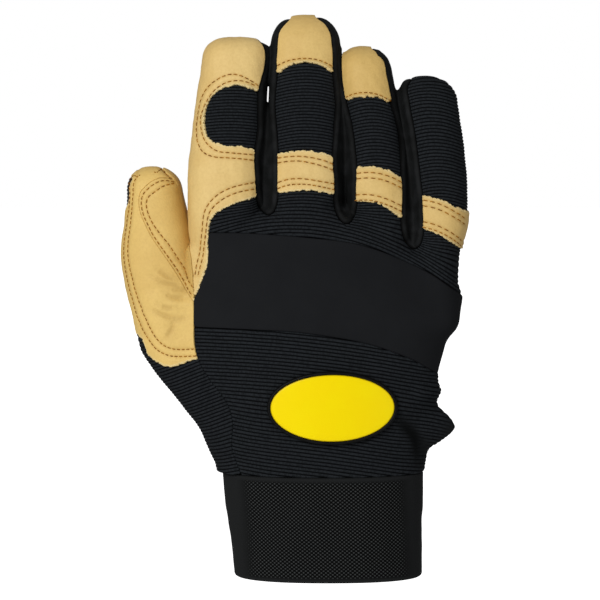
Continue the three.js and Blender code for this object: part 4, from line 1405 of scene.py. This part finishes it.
# The cuff: a woven tube with rolled rims
def cuff_ring(share, grow, count):
    width = CUFF_MOUTH_WIDTH + (CUFF_TOP_WIDTH - CUFF_MOUTH_WIDTH) * share
    turn = 2 * np.pi * (np.arange(count) + 0.5) / count
    bend = lambda v: np.sign(v) * np.abs(v) ** (2 / ROUNDNESS)
    x = -CUFF_LEAN * share + (width / 2 + grow) * bend(np.cos(turn))
    y = (CUFF_DEPTH / 2 + grow) * bend(np.sin(turn))
    return x, y


def cuff():
    around, rows = 260, 46
    profile = [(0.010, -CUFF_WALL), (0.000, -1.5), (0.000, -0.8), (0.008, -0.25), (0.022, 0.0)]
    profile += [(s, 0.0) for s in np.linspace(0.045, 0.955, rows)]
    profile += [(0.978, 0.0), (0.992, -0.25), (1.000, -0.8), (1.000, -1.5), (0.990, -CUFF_WALL)]
    profile += [(s, -CUFF_WALL) for s in np.linspace(0.9, 0.1, 9)]
    points, u, v, plain, edge = [], [], [], [], []
    for share, grow in profile:
        x, y = cuff_ring(share, grow, around)
        ring = np.stack([x, y, np.full(around, share * CUFF_HEIGHT)], 1)
        outer, _ = cuff_ring(share, 0, around)
        girth = np.concatenate([[0], np.cumsum(np.hypot(np.diff(x), np.diff(y)))])
        girth -= girth[around * 3 // 4]
        points.append(ring)
        u.append(girth)
        v.append(np.full(around, share * CUFF_HEIGHT))
        side = smoothstep(np.abs(x + CUFF_LEAN * share), 30.5, 38.5) * (y < 6)
        rim = 1 - smoothstep(np.minimum(share, 1 - share) * CUFF_HEIGHT, 1.2, 2.4)
        plain.append(np.maximum(side * 0.9, rim if grow > -1 else 1.0))
        edge.append(np.full(around, min(share, 1 - share) * CUFF_HEIGHT))
    points, count = np.vstack(points), len(profile)
    waist = 0.5 * ripple(points, 26, 31) + 0.15 * ripple(points, 9, 32)
    fade = np.sin(np.pi * np.clip(points[:, 2] / CUFF_HEIGHT, 0, 1))
    out = unit(points * [1, 1, 0])
    points = points + out * (waist * fade)[:, None]
    faces = []
    for r in range(count):
        a = r * around + np.arange(around)
        b = r * around + (np.arange(around) + 1) % around
        c = ((r + 1) % count) * around
        faces.append(np.stack([a, b, c + (np.arange(around) + 1) % around,
                               c + np.arange(around)], 1))
    return mesh_object("cuff_weave", points, np.vstack(faces),
                       {"u": np.concatenate(u), "v": np.concatenate(v),
                        "plain": np.concatenate(plain), "edge": np.concatenate(edge)})


give(cuff(), "cuff_band", "woven_elastic")


# The badge: a plate that follows the back of the hand, with a raised rim and a plain field
badge_at = np.array([across(BADGE_AT[0]), float(up(BADGE_AT[1])) + SEAM_RISE])


def back_depth(flat):
    """How far forward the hand's back lies at points of its plane."""
    y = np.full(len(flat), -40.0)
    for _ in range(60):
        p = np.stack([flat[:, 0], y, flat[:, 1]], 1)
        y += np.clip(form(p) * 0.8, -1, 2)
    return y


def badge_sheet():
    a = np.linspace(-1, 1, 15)
    gx, gz = [v.ravel() for v in np.meshgrid(a, a)]
    keep = gx**2 + gz**2 <= 1
    flat = badge_at + np.stack([gx, gz], 1)[keep] * [BADGE_WIDTH / 2, BADGE_HEIGHT / 2]
    depth = back_depth(flat)
    terms = lambda q: np.stack([np.ones(len(q)), q[:, 0], q[:, 1], q[:, 0] ** 2,
                                q[:, 0] * q[:, 1], q[:, 1] ** 2], 1)
    fit, *_ = np.linalg.lstsq(terms(flat - badge_at), depth, rcond=None)
    above = (terms(flat - badge_at) @ fit - depth).max()
    return lambda q: terms(q - badge_at) @ fit - above - 0.35


badge_depth = badge_sheet()


def badge_piece(name, profile, node, slot, close):
    around = 120
    turn = 2 * np.pi * np.arange(around) / around
    way = np.stack([np.cos(turn), np.sin(turn)], 1)
    points, edge = [], []
    for inset, lift in profile:
        size = np.array([BADGE_WIDTH / 2 - inset, BADGE_HEIGHT / 2 - inset])
        flat = badge_at + way * size
        points.append(np.stack([flat[:, 0], badge_depth(flat) - lift, flat[:, 1]], 1))
        edge.append(np.full(around, inset - profile[0][0]))
    faces = []
    for r in range(len(profile) - 1):
        a = r * around + np.arange(around)
        b = r * around + (np.arange(around) + 1) % around
        faces.append(np.stack([a, a + around, b + around, b], 1))
    points, faces = np.vstack(points), np.vstack(faces)
    tri = np.vstack([faces[:, [0, 1, 2]], faces[:, [0, 2, 3]]])
    if close:
        middle = badge_at[None]
        depth = badge_depth(middle)[0] - profile[-1][1]
        last = (len(profile) - 1) * around
        ring = last + np.arange(around)
        points = np.vstack([points, [[middle[0, 0], depth, middle[0, 1]]]])
        edge.append([9.0])
        hub = np.full(around, len(points) - 1)
        tri = np.vstack([tri, np.stack([ring, hub, np.roll(ring, -1)], 1)])
    piece = mesh_object(name, points, tri, {"edge": np.concatenate(edge)})
    give(piece, node, slot)


badge_piece("badge_rim", [(0.1, -0.5), (0.0, 0.3), (0.0, 1.0), (0.12, 1.45), (0.4, 1.75),
                          (0.75, 1.85), (1.1, 1.78), (1.38, 1.5), (1.5, 1.1), (1.52, 0.6),
                          (2.6, 0.55)], "badge_plate", "badge_black", False)
badge_piece("badge_field", [(1.50, 0.7), (1.53, 1.12), (1.75, 1.24), (2.4, 1.28), (4.5, 1.31),
                            (8.0, 1.34), (13.0, 1.36)], "badge_face", "badge_yellow", True)


# Camera, floor and light
def look_at(thing, target):
    thing.rotation_mode = "QUATERNION"
    way = Vector(target) - thing.location
    thing.rotation_quaternion = way.to_track_quat("-Z", "Y")


camera = bpy.data.objects.new("camera", bpy.data.cameras.new("camera"))
bpy.context.scene.collection.objects.link(camera)
bpy.context.scene.camera = camera
camera.data.sensor_width = SENSOR
camera.data.lens = SENSOR * VIEW_DISTANCE / VIEW_WIDTH
camera.data.clip_start, camera.data.clip_end = 0.05, 30
camera.location = Vector(VIEW_TARGET * MM) + Vector(
    (0, -math.cos(VIEW_ELEVATION), math.sin(VIEW_ELEVATION))) * VIEW_DISTANCE * MM
look_at(camera, VIEW_TARGET * MM)


def area_light(name, place, target, size, power, color=(1, 1, 1)):
    lamp = bpy.data.objects.new(name, bpy.data.lights.new(name, "AREA"))
    bpy.context.scene.collection.objects.link(lamp)
    lamp.data.shape = "RECTANGLE"
    lamp.data.size, lamp.data.size_y = size
    lamp.data.energy, lamp.data.color = power, color
    lamp.location = place
    look_at(lamp, target)


area_light("key", (-0.75, -1.35, 0.85), (0, 0, 0.12), (0.8, 0.8), 17.8)
area_light("fill", (1.0, -1.2, 0.35), (0, 0, 0.12), (1.0, 1.0), 1.6)
area_light("over", (0.1, 0.05, 1.3), (0, 0, 0.15), (0.8, 0.6), 0.4)


def floor():
    size, low = 6000.0, -260.0
    points = np.array([(-size, -size, low), (size, -size, low), (size, size, low),
                       (-size, size, low)])
    made = mesh_object("floor", points, np.array([[0, 1, 2, 3]]), smooth=False)
    n = Nodes("floor_white")
    pale = n.mix(n.noise(n.place(), 3.0, 2), (0.93, 0.93, 0.93), (0.95, 0.95, 0.95))
    made.data.materials.append(n.finish(pale, 0.9, Emission_Color=(1, 1, 1)))
    seen_straight = n.add("ShaderNodeLightPath").outputs["Is Camera Ray"]
    n.tree.links.new(seen_straight, n.shader.inputs["Emission Strength"])


floor()
world = bpy.data.worlds.new("studio")
world.use_nodes = True
bpy.context.scene.world = world
sky = world.node_tree.nodes["Background"]
sky.inputs["Color"].default_value = (1, 1, 1, 1)
paths = world.node_tree.nodes.new("ShaderNodeLightPath")
level = world.node_tree.nodes.new("ShaderNodeMapRange")
level.inputs["To Min"].default_value = 0.27
level.inputs["To Max"].default_value = 1.0
world.node_tree.links.new(paths.outputs["Is Camera Ray"], level.inputs["Value"])
world.node_tree.links.new(level.outputs[0], sky.inputs["Strength"])
bpy.context.scene.view_settings.view_transform = "Standard"
